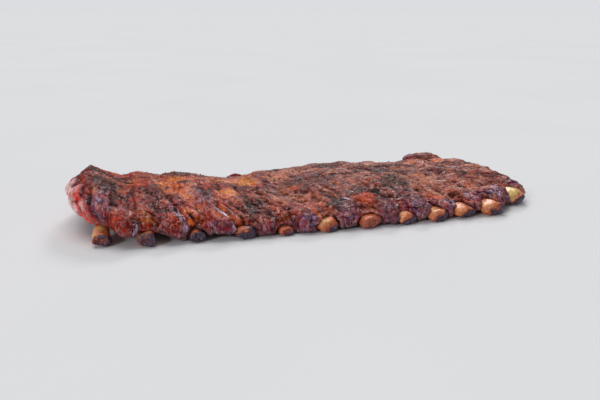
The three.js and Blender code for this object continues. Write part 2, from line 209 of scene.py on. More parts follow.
# Where the violet sheen of the wet meat is painted.
VIOLET_SHEEN_PATCHES = [
    (82, -70, 14, 11, 9, 1.0), (134, -64, 14, 12, 10, 1.0), (160, -56, 15, 12, 10, 1.0),
    (18, -72, 12, 13, 10, 0.8), (52, -70, 12, 12, 9, 0.9), (-20, -76, 9, 12, 9, 1.0),
    (-176, -36, 27, 11, 12, 1.0), (-168, -46, 22, 12, 9, 0.7), (-98, -20, 23, 16, 14, 0.5),
    (70, -66, 15, 9, 7, 0.9), (110, -68, 11, 12, 9, 1.0), (172, -48, 15, 12, 10, 0.9),
    (150, -56, 14, 14, 8, 0.7), (-118, -40, 23, 9, 9, 0.5), (14, 20, 26, 18, 10, 0.3),
    (160, 16, 23, 14, 7, 0.6), (198, -34, 17, 9, 12, 0.9), (-88, -72, 10, 14, 8, 0.8),
    (-52, -76, 8, 10, 8, 0.7), (128, 60, 26, 8, 9, 1.0),
]
# Where the sliced end is paler and carries its painted highlight.
BLUSH_HIGHLIGHT_PATCHES = [
    (-194, 4, 28, 14, 22, 1.0), (-196, -14, 22, 10, 12, 0.8), (-190, 40, 24, 14, 18, 0.9),
    (-186, -34, 24, 6, 4, 0.7),
]
# Runs: start, end, half width, strength. First amber fat, then pale wet skin.
FAT_RUNS = [
    ((-14, -62, 15), (-4, -77, 9), 4.0, 0.9), ((24, -70, 13), (32, -78, 8), 3.4, 0.8),
    ((60, -72, 12), (64, -78, 8), 2.8, 0.7), ((88, -68, 12), (94, -78, 8), 3.0, 0.6),
    ((-52, -40, 19), (-38, -58, 16), 1.8, 0.6), ((114, -66, 12), (120, -78, 8), 2.6, 0.6),
    ((150, -20, 22), (186, 6, 22), 3.0, 0.35), ((-30, 22, 23), (40, 26, 26), 2.6, 0.3),
    ((128, 47, 24), (172, 47, 23), 4.0, 1.0), ((124, 54, 20), (146, 56, 19), 3.0, 1.0),
    ((0, -40, 22), (30, -52, 19), 2.4, 0.5),
]
PALE_RUNS = [
    ((-122, -42, 23), (-112, -76, 8), 3.0, 1.0), ((-86, -46, 19), (-76, -74, 8), 2.6, 0.9),
    ((-102, -26, 24), (-84, -52, 19), 2.4, 0.8), ((-150, -58, 18), (-145, -74, 7), 2.4, 0.9),
    ((-58, -66, 14), (-54, -78, 6), 2.2, 0.7), ((14, -48, 20), (22, -58, 18), 1.8, 0.9),
    ((-12, -58, 16), (-12, -76, 8), 1.6, 0.6), ((-26, -6, 22), (-36, -24, 21), 2.0, 0.5),
    ((56, -64, 15), (50, -78, 8), 1.6, 0.6), ((84, -62, 15), (86, -76, 8), 2.4, 1.0),
    ((128, -60, 13), (132, -76, 8), 1.6, 0.7), ((-96, -44, 21), (-90, -62, 16), 1.8, 0.5),
    ((-6, 30, 25), (30, 26, 27), 1.4, 0.35), ((60, 8, 25), (100, -4, 22), 1.4, 0.35),
    ((150, 20, 23), (172, 4, 22), 1.6, 0.8), ((118, 44, 24), (150, 40, 24), 1.4, 0.6),
]

# Shafts that show through the crust, and the wider beds that they lie in.
BARE_RUNS = [
    ((-114, -51, 20), (-108.5, -67, 13), 2.2, 1.0), ((-83, -43, 20), (-74, -66, 13), 2.8, 1.0),
]
BED_WIDTH = 1.9
BARE_BEDS = [(start, end, BED_WIDTH * half_width, strength)
             for start, end, half_width, strength in BARE_RUNS]
# Clefts, as runs too, sunk into the crust and painted with shade.
CLEFTS = [
    ((124, 50, 24), (150, 52, 24), 2.4, 1.0), ((60, -55, 18), (72, -58, 16), 1.6, 0.8),
    ((-196, -20, 26), (-182, -36, 30), 1.6, 0.8), ((-60, 45, 21), (-36, 46, 22), 1.8, 0.7),
    ((150, -62, 13), (162, -60, 12), 1.6, 0.7), ((-142, -50, 23), (-130, -62, 17), 1.4, 0.5),
    ((92, -50, 17), (98, -62, 13), 1.8, 0.7), ((36, -44, 20), (22, -50, 20), 1.4, 0.6),
]
# Single holes in the crust, also painted with shade: x, y, z, half width, depth.
PITS = [
    (117, -55, 15, 4.0, 2.6), (132, -42, 19, 3.0, 2.2), (89, -45, 19, 3.5, 2.4),
    (58, -56, 19, 4.5, 2.4), (-10, -24, 22, 2.5, 1.8), (-158, -22, 29, 5.0, 1.6),
    (-122, -21, 25, 4.5, 1.6), (75, -55, 17, 3.5, 1.8), (150, -58, 13, 3.0, 2.0),
    (-126, -50, 22, 3.5, 1.6), (140, -60, 13, 2.6, 1.8), (24, -34, 23, 2.6, 1.4),
]


def linear(red, green, blue):
    """A colour given as it looks on screen, 0 to 255, as the scene's own light values."""
    return tuple((v / 255 / 12.92) if v < 11 else ((v / 255 + 0.055) / 1.055) ** 2.4
                 for v in (red, green, blue))


def colour(name, description, red, green, blue):
    return FloatVectorProperty(name=name, description=description, default=linear(red, green, blue),
                               min=0, max=1, size=3, subtype="COLOR")


def length(name, description, default, highest=0.01):
    return FloatProperty(name=name, description=description, default=default, min=0, max=highest,
                         unit="LENGTH", precision=5)


# ---- settings ---------------------------------------------------------------------------------

class RibRackCrust(bpy.types.PropertyGroup):
    spacing: length("Mesh spacing", "Distance between points of the meat's mesh", 0.00105)
    wrinkle_depth: length("Wrinkle depth", "Height of the crust's wrinkles", 0.0012)
    fibre_depth: length("Fibre depth", "Height of the long muscle fibres", 0.0009)
    pit_depth: length("Pit depth", "Depth of the small pits in the crust", 0.0018)
    grit_depth: length("Grit depth", "Height of the finest grit, which is bump only", 0.0007)
    brown: colour("Brown", "Main colour of the smoked crust", 132, 22, 8)
    rust: colour("Rust", "Colour of the crust where it has browned least", 184, 48, 14)
    mauve: colour("Mauve", "Greyer colour of the dry crust", 140, 62, 50)
    rose: colour("Rose", "Colour of the lighter dry crust", 204, 126, 100)
    slate: colour("Slate", "Colour of the darkest dry crust", 66, 32, 30)
    # The dark also paints shade between the lumps of the lobes and in the beds of the bare shafts.
    dark: colour("Dark", "Colour of the deep folds of the crust", 44, 14, 12)
    tan: colour("Tan", "Colour of the palest crust", 208, 96, 54)
    sand: colour("Sand", "Colour of the palest dry crust", 216, 138, 98)
    char: colour("Char", "Colour of scorched crust", 27, 25, 27)
    fat: colour("Fat", "Colour of rendered amber fat", 212, 80, 10)
    honey: colour("Honey", "Colour of the clearest fat", 240, 140, 40)
    red: colour("Red", "Colour of wet red meat", 150, 14, 28)
    ember: colour("Ember", "Colour of bright orange red glaze", 232, 88, 42)
    # The violet paints the bluish sheen of the sky on the wet meat.
    violet_sheen: colour("Violet", "Colour of the smoke ring under wet glaze", 76, 34, 80)
    magenta: colour("Magenta", "Colour of wet meat beside the bones", 148, 34, 60)
    # The lavender paints glints on the wet lobes.
    lavender_highlight: colour("Lavender", "Colour of the paler strands of the smoke ring", 152, 122, 172)
    cut: colour("Cut face", "Colour of the sliced end", 246, 50, 22)
    groove: colour("Groove", "Colour of the groove around the sliced end", 112, 10, 38)
    # The blush also paints the highlight on the upper left of the sliced end.
    blush_and_highlight: colour("Blush", "Paler colour of the sliced end", 255, 206, 200)
    pale: colour("Pale skin", "Colour of silver skin and wet edges", 184, 144, 160)
    # The wet edge paints the glistening highlights of the strands on the sliced end.
    wet: colour("Wet edge", "Colour of the wet strands of the sliced end", 232, 206, 216)
    # The speck also paints the glints and the highlights on standing edges of the crust.
    speck_and_glint: colour("Speck", "Colour of pale grains set in the crust", 214, 168, 162)
    roughness: FloatProperty(name="Roughness", description="Roughness of the dry crust",
                             default=0.5, min=0, max=1, subtype="FACTOR")
    glaze: FloatProperty(name="Glaze", description="Strength of the wet glaze over the crust",
                         default=0.85, min=0, max=1, subtype="FACTOR")


class RibRackBones(bpy.types.PropertyGroup):
    spacing: length("Mesh spacing", "Distance between points of a bone's mesh", 0.0007)
    lump_depth: length("Lump depth", "Height of the lumps on a bone", 0.0004)
    ivory: colour("Ivory", "Colour of the cleanest bone", 236, 204, 112)
    tan: colour("Tan", "Colour of lightly smoked bone", 236, 156, 102)
    orange: colour("Orange", "Colour of bone basted with glaze", 212, 106, 52)
    red: colour("Red", "Colour of bone under a film of meat", 158, 72, 62)
    rust: colour("Rust", "Colour around the scorched tips", 146, 58, 34)
    char: colour("Char", "Colour of the scorched tips", 52, 34, 52)
    # The ash flecks are partly painted glints on the scorch.
    ash_and_glint: colour("Ash", "Colour of the flecks on the scorched tips", 150, 122, 160)
    roughness: FloatProperty(name="Roughness", description="Roughness of clean bone",
                             default=0.44, min=0, max=1, subtype="FACTOR")


class RibRackRub(bpy.types.PropertyGroup):
    seed: IntProperty(name="Seed", description="Start of the random draw", default=7, min=0)
    pepper_count: IntProperty(name="Pepper", description="Number of dark grains", default=2600, min=0)
    flake_count: IntProperty(name="Flakes", description="Number of pale grains", default=900, min=0)
    chilli_count: IntProperty(name="Chilli", description="Number of red grains", default=900, min=0)
    bead_count: IntProperty(name="Fat beads", description="Number of small beads", default=1100, min=0)
    grain_size: length("Grain size", "Width of an average grain", 0.0009)
    bead_size: length("Bead size", "Width of an average bead of fat", 0.0011)
    pepper: colour("Pepper colour", "Colour of the dark grains", 46, 24, 22)
    flake: colour("Flake colour", "Colour of the pale grains", 196, 132, 108)
    chilli: colour("Chilli colour", "Colour of the red grains", 150, 54, 34)
    bead: colour("Bead colour", "Colour of the beads of fat", 150, 84, 62)


class RibRackStage(bpy.types.PropertyGroup):
    floor: colour("Floor colour", "Colour of the floor", 232, 232, 233)
    floor_radius: FloatProperty(name="Floor radius", description="Radius of the round floor",
                                default=60, min=1, unit="LENGTH")
    camera_place: FloatVectorProperty(name="Camera place", description="Where the camera stands",
                                      default=(-0.1785, -0.552, 0.169), subtype="TRANSLATION",
                                      unit="LENGTH")
    camera_down: FloatProperty(name="Camera tilt", description="How far the camera looks down",
                               default=math.radians(15.7), unit="ROTATION")
    camera_right: FloatProperty(name="Camera turn", description="How far the camera turns to the right",
                                default=math.radians(17.6), unit="ROTATION")
    lens: FloatProperty(name="Focal length", description="Focal length of the camera, in millimetres",
                        default=40.6, min=1)
    backdrop: colour("Backdrop colour", "Colour seen beyond the floor", 220, 221, 224)
    sky: FloatProperty(name="Sky", description="Strength of the even light from all round",
                       default=0.24, min=0)
    overhead: FloatProperty(name="Overhead light", description="Strength of the broad light above",
                            default=1.4, min=0)
    back: FloatProperty(name="Back light", description="Strength of the light behind and above",
                        default=0.9, min=0)
    side: FloatProperty(name="Side light", description="Strength of the light from the left",
                        default=0.9, min=0)


# ---- small functions --------------------------------------------------------------------------

def smooth(value):
    t = np.clip(value, 0.0, 1.0)
    return t * t * (3 - 2 * t)


def rise(value, start, run):
    """0 up to a start, and 1 from a run past it."""
    return smooth((value - start) / run)


def fall(value, start, run):
    """0 from a start on, and 1 from a run before it."""
    return smooth((start - value) / run)


def lerp(start, end, share):
    return start + (end - start) * share


def full_turn(count):
    """Angles once round, evenly spaced."""
    return np.linspace(0, 2 * math.pi, count, endpoint=False)


def signed_power(value, power):
    return np.sign(value) * np.abs(value) ** power


def along(stations, x):
    """A value along the rack, from its stations."""
    places, values = np.array(stations, float).T
    x = np.clip(x, places[0], places[-1])
    i = np.clip(np.searchsorted(places, x) - 1, 0, len(places) - 2)
    return lerp(values[i], values[i + 1], smooth((x - places[i]) / (places[i + 1] - places[i])))


def lattice_value(i, j, k):
    """A repeatable random value from -1 to 1 at each point of a cubic lattice."""
    i, j, k = (part.astype(np.int64).astype(np.uint32) for part in (i, j, k))
    mixed = (i * np.uint32(374761393)) ^ (j * np.uint32(668265263)) ^ (k * np.uint32(1442695041))
    mixed = (mixed ^ (mixed >> np.uint32(13))) * np.uint32(1274126177)
    return (mixed ^ (mixed >> np.uint32(16))) / 2147483647.5 - 1


def noise(x, y, z):
    """Smooth noise between -1 and 1."""
    i, j, k = np.floor(x), np.floor(y), np.floor(z)
    u, v, w = smooth(x - i), smooth(y - j), smooth(z - k)
    total = 0
    for a in (0, 1):
        for b in (0, 1):
            for c in (0, 1):
                weight = (u if a else 1 - u) * (v if b else 1 - v) * (w if c else 1 - w)
                total = total + weight * lattice_value(i + a, j + b, k + c)
    return total


def crags(x, y, z):
    return sum(height * noise(x / size, y / size, z / size) for size, height in CRAGS)


def noise_at(points, size, shift=0.0, stretch=(1, 1, 1)):
    """Noise at points, with cells of a size in millimetres, and a pattern of its own for each shift."""
    x, y, z = (points[..., axis] / (size * stretch[axis]) + shift for axis in range(3))
    return noise(x, y, z)


def ridges(points, size, shift=0.0, stretch=(1, 1, 1)):
    """Sharp ridges (1) between rounded hollows (towards -1)."""
    return 1 - 2 * np.abs(noise_at(points, size, shift, stretch)) ** 0.8


def veins(points, size, width, shift=0.0, stretch=(1, 1, 1)):
    """Thin branching lines: 1 on a line and 0 between the lines."""
    return 1 - smooth(np.abs(noise_at(points, size, shift, stretch)) / width)


def plates(points, size, shift=0.0):
    """0 on the cracks between rounded plates of crust, and about 1 in the middle of a plate."""
    place = points / size + shift
    corner = np.floor(place)
    near, next_near = np.full(len(points), 9.0), np.full(len(points), 9.0)
    for step in np.ndindex(3, 3, 3):
        cell = corner + step - 1
        i, j, k = cell.T
        heart = cell + 0.5 + 0.42 * np.stack([lattice_value(i, j, k), lattice_value(j + 31, k, i),
                                              lattice_value(k, i + 57, j)], 1)
        off = ((place - heart) ** 2).sum(1)
        next_near = np.minimum(next_near, np.maximum(near, off))
        near = np.minimum(near, off)
    return np.clip(1.6 * (np.sqrt(next_near) - np.sqrt(near)), 0, 1)


def spots(points, size, level, shift=0.0):
    """Scattered round spots: 1 in a spot and 0 outside."""
    return smooth((noise_at(points, size, shift) - level) / (1.15 * (0.95 - level)))


# ---- the shape of the slab --------------------------------------------------------------------

def rib_lean(x):
    return RIB_LEAN + RIB_FAN * x


def rib_line(x, y):
    """Where the rib line through a point meets the front line."""
    back = y - FRONT_LINE
    return (x - RIB_LEAN * back) / (1 + RIB_FAN * back)


def between_ribs(x, y):
    """0 over a rib and 1 halfway between two ribs."""
    line = rib_line(x, y)
    right = np.searchsorted(RIB_X, line, side="right")
    inside = (right > 0) & (right < len(RIB_X))
    right = np.clip(right, 1, len(RIB_X) - 1)
    share = (line - RIB_X[right - 1]) / (RIB_X[right] - RIB_X[right - 1])
    past_bone = np.clip((share - LOBE_MARGIN) / (1 - 2 * LOBE_MARGIN), 0, 1)
    return np.where(inside, np.abs(np.sin(math.pi * past_bone)) ** LOBE_FULLNESS, 0.0)


def meat_station(row):
    """Where a row stands along the rack, and how full the section is there."""
    left, right = LEFT_X + CUT_ROUND["depth"], RIGHT_X - THIN_ROUND["depth"]
    x = lerp(left, right, np.clip((row - CAP_ROWS) / (ROWS - 2 * CAP_ROWS), 0, 1))
    girth = np.ones_like(x)
    for side, edge, end, from_tip in ((-1, left, CUT_ROUND, row), (1, right, THIN_ROUND, ROWS - row)):
        angle = np.clip(from_tip / CAP_ROWS, 0, 1) * math.pi / 2
        out = np.abs(np.cos(angle)) ** end["out"]
        x = np.where(from_tip < CAP_ROWS, edge + side * end["depth"] * out, x)
        girth = np.where(from_tip < CAP_ROWS, np.sin(angle) ** end["girth"], girth)
    return x, girth


def cut_shift(y, z):
    """How far the cut end stands to the right of its plane."""
    from_middle = y - CUT_BULGE_Y
    most = np.where(from_middle < 0, CUT_FRONT_SWING, CUT_BACK_SWING)
    reach = np.where(from_middle < 0, CUT_FRONT_REACH, CUT_BACK_REACH)
    swing = most * np.minimum(np.abs(from_middle) / reach, 1) ** CUT_SWING_POWER
    foot = CUT_FOOT["depth"] * fall(z, CUT_FOOT["below"], CUT_FOOT["height"])
    brow = CUT_BROW["depth"] * rise(z, CUT_BROW["above"], CUT_BROW["height"])
    return swing + foot + brow - CUT_BULGE_OUT


def end_shift(x, y, z):
    """The bulge of the cut end and the slant of the thin end."""
    near_cut = fall(x, LEFT_X + CUT_FADE, CUT_FADE)
    near_thin = rise(x, RIGHT_X - THIN_FADE, THIN_FADE)
    return near_cut * cut_shift(y, z) - near_thin * THIN_SLANT * (y - THIN_SLANT_Y)


def meat_points(row, turn, cragged=True):
    """Points on the slab's outer surface: row runs along the rack, turn runs around it."""
    station, girth = meat_station(row)
    across, up = np.cos(turn), np.sin(turn)
    front, back = along(FRONT_EDGE, station), along(BACK_EDGE, station)
    under_power = np.where(across < 0, UNDER_POWER["front"], UNDER_POWER["back"])
    width_power = np.where(up > 0, TOP_POWER["across"], under_power)
    y = (front + back) / 2 + (back - front) / 2 * girth * signed_power(across, width_power)

    share = np.clip((y - front) / (back - front), 0, 1)
    hem = lerp(along(FRONT_HEM, station), BACK_HEM, share)
    floor = hem + ARCH_RISE * rise(share, *ARCH_FRONT) * fall(share, 1 - ARCH_BACK[0], ARCH_BACK[1])
    crest = along(CREST, station) - FRONT_DROP * (1 - share) ** 2
    waist = lerp(hem, crest, WAIST)
    reach = np.where(up > 0, crest - waist, waist - floor) * girth
    z = waist + reach * signed_power(up, np.where(up > 0, TOP_POWER["up"], UNDER_POWER["up"]))

    lobe = between_ribs(station, y) * girth
    front_start = np.where(up > 0, LOBE_FRONT["above"], LOBE_FRONT["below"])
    near_front = rise(-across, front_start, LOBE_FRONT["run"])
    near_back = rise(across, LOBE_BACK["start"], LOBE_BACK["run"])
    lobe_out = along(LOBE_OUT, station) + LOBE_SAG_OUT * smooth(-up)
    y = y + lobe * (LOBE_BACK_OUT * near_back - lobe_out * near_front)
    z = z - lobe * LOBE_HANG * near_front * smooth(-up)
    z = z + (girth - 2 * lobe) * RIDGE * smooth(up)

    x = station + end_shift(station, y, z)
    if cragged:
        relief = crags(x, y, z) * (1 - UNDERSIDE_CALM * smooth(-1.5 * up))
        x = x + relief * (1 - girth) * np.sign(station)
        y = y + relief * across * girth
        z = z + relief * up * girth
    return np.stack(np.broadcast_arrays(x, y, np.maximum(z, MEAT_FLOOR)), -1)


def even_steps(path, values, step, closed=False):
    """Picks values so that the points of a dense path lie a step apart."""
    run = np.concatenate([[0], np.cumsum(np.linalg.norm(np.diff(path, axis=0), axis=1))])
    count = max(4, int(round(run[-1] / step)))
    return np.interp(np.linspace(0, run[-1], count + 1)[: count if closed else None], run, values)


def fine_rows(step):
    """Row numbers from tip to tip, evenly spaced over the cut end, the slab and the thin end."""
    dense = CAP_ROWS * np.linspace(0, 1, DENSE_ROWS) ** 2
    half_width = 60.0      # of the slab, roughly
    ends = []
    for rows in (dense, ROWS - dense):
        x, girth = meat_station(rows)
        ends.append(even_steps(np.stack([x, half_width * girth], 1), rows, step))
    middle = np.linspace(CAP_ROWS, ROWS - CAP_ROWS, int((RIGHT_X - LEFT_X) / step) + 1)
    return np.concatenate([ends[0], middle[1:-1], ends[1][::-1]])


def fine_turns(step, underside_step):
    """Turns around the section, evenly spaced, and wider apart underneath."""
    dense = np.linspace(0, 2 * math.pi, DENSE_TURNS)
    path = meat_points(np.full_like(dense, ROWS / 2), dense, cragged=False)
    path = path - path[0]
    upper = dense <= math.pi
    top = even_steps(path[upper], dense[upper], step, closed=True)
    under = even_steps(path[~upper], dense[~upper], underside_step, closed=True)
    return np.concatenate([top, under])


def grid_normals(points):
    """Outward directions of a grid of points whose second axis goes round."""
    around = np.roll(points, -1, 1) - np.roll(points, 1, 1)
    down = np.gradient(points, axis=0)
    normal = np.cross(around, down)
    size = np.linalg.norm(normal, axis=-1, keepdims=True)
    return normal / np.maximum(size, 1e-9)


def tube_faces(rows, around):
    """Faces of a closed skin: a first pole, rings of points, and a last pole."""
    ring = np.arange(rows * around).reshape(rows, around) + 1
    nxt = np.roll(ring, -1, 1)
    quads = np.stack([ring[:-1], nxt[:-1], nxt[1:], ring[1:]], -1).reshape(-1, 4)
    last = rows * around + 1
    start = np.stack([np.zeros(around, int), nxt[0], ring[0]], -1)
    end = np.stack([np.full(around, last), ring[-1], nxt[-1]], -1)
    return quads.tolist() + start.tolist() + end.tolist()


def make_object(name, points, faces, shade_smooth=True):
    """An object from points in the frame's millimetres."""
    if not np.isfinite(points).all():
        raise ValueError(f"{name} has points without a place")
    mesh = bpy.data.meshes.new(name)
    mesh.from_pydata((np.asarray(points) * MM).tolist(), [], faces)
    mesh.update()
    if shade_smooth:
        mesh.shade_smooth()
    made = bpy.data.objects.new(name, mesh)
    bpy.context.scene.collection.objects.link(made)
    return made


def mesh_arrays(mesh):
    """Points in millimetres, and the outward direction at each."""
    points = np.empty(len(mesh.vertices) * 3, np.float32)
    mesh.vertices.foreach_get("co", points)
    normals = np.empty(len(mesh.vertices) * 3, np.float32)
    mesh.vertex_normals.foreach_get("vector", normals)
    return points.reshape(-1, 3).astype(float) / MM, normals.reshape(-1, 3).astype(float)


def store(mesh, masks):
    """Keeps each look's share as a value on the points of a mesh."""
    for name, values in masks.items():
        layer = mesh.attributes.new(name, "FLOAT", "POINT")
        layer.data.foreach_set("value", np.clip(values, -1, 1).astype(np.float32))


def standing_out(mesh, points, normals, rounds):
    """How far each point stands out of the surface smoothed by some rounds, in millimetres."""
    edges = np.empty(len(mesh.edges) * 2, np.int32)
    mesh.edges.foreach_get("vertices", edges)
    a, b = edges.reshape(-1, 2).T
    total = len(points)
    share = np.bincount(a, minlength=total) + np.bincount(b, minlength=total)
    calm = points.copy()
    for _ in range(rounds):
        calm = np.stack([(np.bincount(a, calm[b, axis], total) + np.bincount(b, calm[a, axis], total))
                         / np.maximum(share, 1) for axis in range(3)], 1)
    return ((points - calm) * normals).sum(1)


def nearness(points, patches):
    """The strongest of some soft uneven patches at each point."""
    result = np.zeros(len(points))
    for x, y, z, half_x, half_y, strength in patches:
        half_z = 0.6 * min(half_x, half_y) + 5
        reach = np.sqrt(((points[:, 0] - x) / half_x) ** 2 + ((points[:, 1] - y) / half_y) ** 2
                        + ((points[:, 2] - z) / half_z) ** 2)
        result = np.maximum(result, strength * (1 - rise(reach, 0.55, 0.75)))
    return result


def run_nearness(points, runs):
    """The strongest of some narrow runs at each point."""
    result = np.zeros(len(points))
    for start, end, half_width, strength in runs:
        start, step = np.array(start, float), np.array(end, float) - start
        share = np.clip(((points - start) @ step) / (step @ step), 0, 1)
        off = np.linalg.norm(points - start - share[:, None] * step, axis=1)
        width = half_width * (0.7 + 0.5 * share)
        result = np.maximum(result, strength * (1 - rise(off / width, 0.5, 0.8)))
    return result


def wander(points, amount, size, shift):
    """Points moved about by noise, so that an edge drawn from them is uneven."""
    return points + amount * np.stack([noise_at(points, size, shift + 13.7 * k) for k in range(3)], -1)


# ---- fields over the meat ---------------------------------------------------------------------

def rim_wander(points):
    """Points moved about so that the rim of the sliced end is uneven."""
    return wander(points, 1.5, 6, 15)


def cut_station(points):
    """Distance along the rack without the bulge of the cut end."""
    flat = points + MIDDLE
    return flat[:, 0] - cut_shift(flat[:, 1], flat[:, 2])


def past_rim(points):
    """Distance from the crust's rim out over the sliced end."""
    share = rise(points[:, 1], CUT_RIM["turn"], CUT_RIM["run"])
    return lerp(CUT_RIM["front"], CUT_RIM["back"], share) - cut_station(points)


def cut_share(points):
    """1 on the sliced end of the rack."""
    return smooth(past_rim(points) / CUT_RIM["blur"])


def seam_share(points):
    """1 in the groove between the sliced end and the crust."""
    off = (GROOVE["out"] - past_rim(points)) / GROOVE["width"]
    return np.exp(-off ** 2) * rise(points[:, 2], GROOVE["above"], GROOVE["fade"])


def lobe_share(points, normals):
    """1 on the swollen lobes along the front edge."""
    front = rise(-normals[:, 1], 0.05, 0.5) * fall(points[:, 1], -48, 14)
    return front * rise(points[:, 0], -186, 14)


def fibre_share(points, normals):
    """1 where the long muscle fibres show, on the top of the thinner half."""
    return rise(normals[:, 2], 0.25, 0.4) * (0.25 + 0.75 * rise(points[:, 0], -40, 60))


def cord_share(points, normals):
    """1 where strands of meat run down to the front edge beside the bones."""
    return fall(points[:, 1], 14, 34) * fall(points[:, 0], 150, 70) * smooth(normals[:, 2] + 0.4)


def seam_frame(points):
    """Points with the first coordinate across the seams, which slant more than the ribs below them."""
    flat = points + MIDDLE
    slant = SEAM_SLANT * rise(flat[:, 0], -150, 40) * fall(flat[:, 0], 110, 80)
    line = rib_line(flat[:, 0], flat[:, 1]) + slant * np.clip(flat[:, 1] - FRONT_LINE, 0, SEAM_REACH)
    return np.stack([line, flat[:, 1], flat[:, 2]], 1)


def rib_side(points):
    """Distance along the rack from the nearest rib's seam in the crust."""
    off = seam_frame(points)[:, :1] - RIB_X
    return off[np.arange(len(points)), np.abs(off).argmin(1)]


def rib_offset(points):
    """Distance out of the nearest rib's surface, roughly, in millimetres."""
    flat = points + MIDDLE
    nearest = np.full(len(points), 99.0)
    for rib in RIBS:
        run = flat[:, 1] - rib.y
        centre_x, centre_z, half_width, half_height = rib_section(rib, np.maximum(run, 0))
        across = (flat[:, 0] - centre_x) / half_width
        up = (flat[:, 2] - centre_z) / half_height
        reach = (np.sqrt(across ** 2 + up ** 2) - 1) * (half_width + half_height) / 2
        nearest = np.minimum(nearest, np.where(run < -2, 99, reach))
    return nearest


def crust_relief(points, normals, sizes):
    """How far the finished crust stands out of the slab at each point, in millimetres."""
    wrinkle, fibre, pit = (getattr(sizes, name) / MM for name in
                           ("wrinkle_depth", "fibre_depth", "pit_depth"))
    bent = wander(points, 2.2, 8, 5)
    lobe, fibres = lobe_share(points, normals), fibre_share(points, normals)
    cut = cut_share(rim_wander(points))
    below = rise(-normals[:, 2], 0.1, 0.5)
    y = points[:, 1]

    laid, cords = seam_frame(bent), cord_share(points, normals)
    cracks = 1 - smooth(plates(bent, 9, 3) / 0.4)
    craggy = wrinkle * (noise_at(bent, 13, 2) + 0.6 * ridges(bent, 6.5, 9)
                        + 0.35 * noise_at(bent, 2.6, 17)
                        - 0.6 * cracks * smooth(noise_at(bent, 15, 13) + 0.5))
    strands = fibre * (1.1 * ridges(bent, 4.2, 21, (7, 1, 1))
                       + 0.6 * noise_at(bent, 2.2, 27, (6, 1, 1)))
    hanging = fibre * (1.2 * ridges(laid, 5.0, 23, (1, 5, 3))
                       + 0.7 * noise_at(laid, 2.4, 29, (1, 5, 3)))
    relief = lerp(craggy, 0.32 * craggy + strands * (1 - 0.45 * rise(y, 20, 30)), fibres)
    relief = lerp(relief, 0.55 * craggy + hanging, 0.8 * cords)
    side = rib_side(wander(points, 2.5, 12, 31))
    furrow = np.exp(-((np.abs(side) - 8) / 2.2) ** 2) * fall(y, 30, 50) * smooth(normals[:, 2])
    relief = relief - 1.7 * furrow * (0.6 + 0.6 * noise_at(bent, 10, 35))
    cushions = smooth(plates(wander(bent, 1.2, 4, 45), 5.6, 41) / 0.8)
    plump = wrinkle * (0.7 * noise_at(bent, 9, 43) + 2.0 * cushions - 1.2
                       + 0.25 * ridges(bent, 2.4, 47))
    relief = lerp(relief, plump, 0.85 * lobe)
    relief = lerp(relief, 0.35 * relief, below)

    muscle = 3.2 * np.abs(noise_at(bent, 14, 55, (1, 1, 1.3))) ** 0.6 - 1.7
    sinew = 0.6 * ridges(bent, 3.4, 61, (1, 1, 3)) + 0.4 * noise_at(bent, 2.2, 67)
    relief = lerp(relief, muscle + sinew, cut)
    relief = relief - GROOVE["depth"] * seam_share(rim_wander(points))

    fatty = nearness(wander(points, 2.5, 6, 89), FAT_PATCHES)
    relief = lerp(relief, 0.45 * relief + 0.6, 0.8 * fatty)
    open_crust = (1 - cut) * (1 - fatty) * (1 - 0.6 * lobe) * (1 - below)
    relief = relief - pit * open_crust * spots(bent, 5.6, 0.42, 71)
    relief = relief - 0.6 * pit * open_crust * spots(bent, 3.1, 0.45, 77)
    for px, py, pz, half, depth in PITS:
        off = np.linalg.norm(points - (px, py, pz), axis=1) / half
        relief = relief - depth * (1 - smooth(off))
    relief = relief - 2.0 * run_nearness(points, CLEFTS)

    lip = rib_offset(points)
    pucker = np.exp(-((lip - 2.6) / 1.8) ** 2) * fall(y, -45, 15)
    relief = relief + (1.9 + 3.6 * noise_at(points, 6, 83)) * pucker
    relief = relief - 1.2 * run_nearness(points, BARE_BEDS)
    return lerp(relief, 1.5, run_nearness(points, BARE_RUNS))


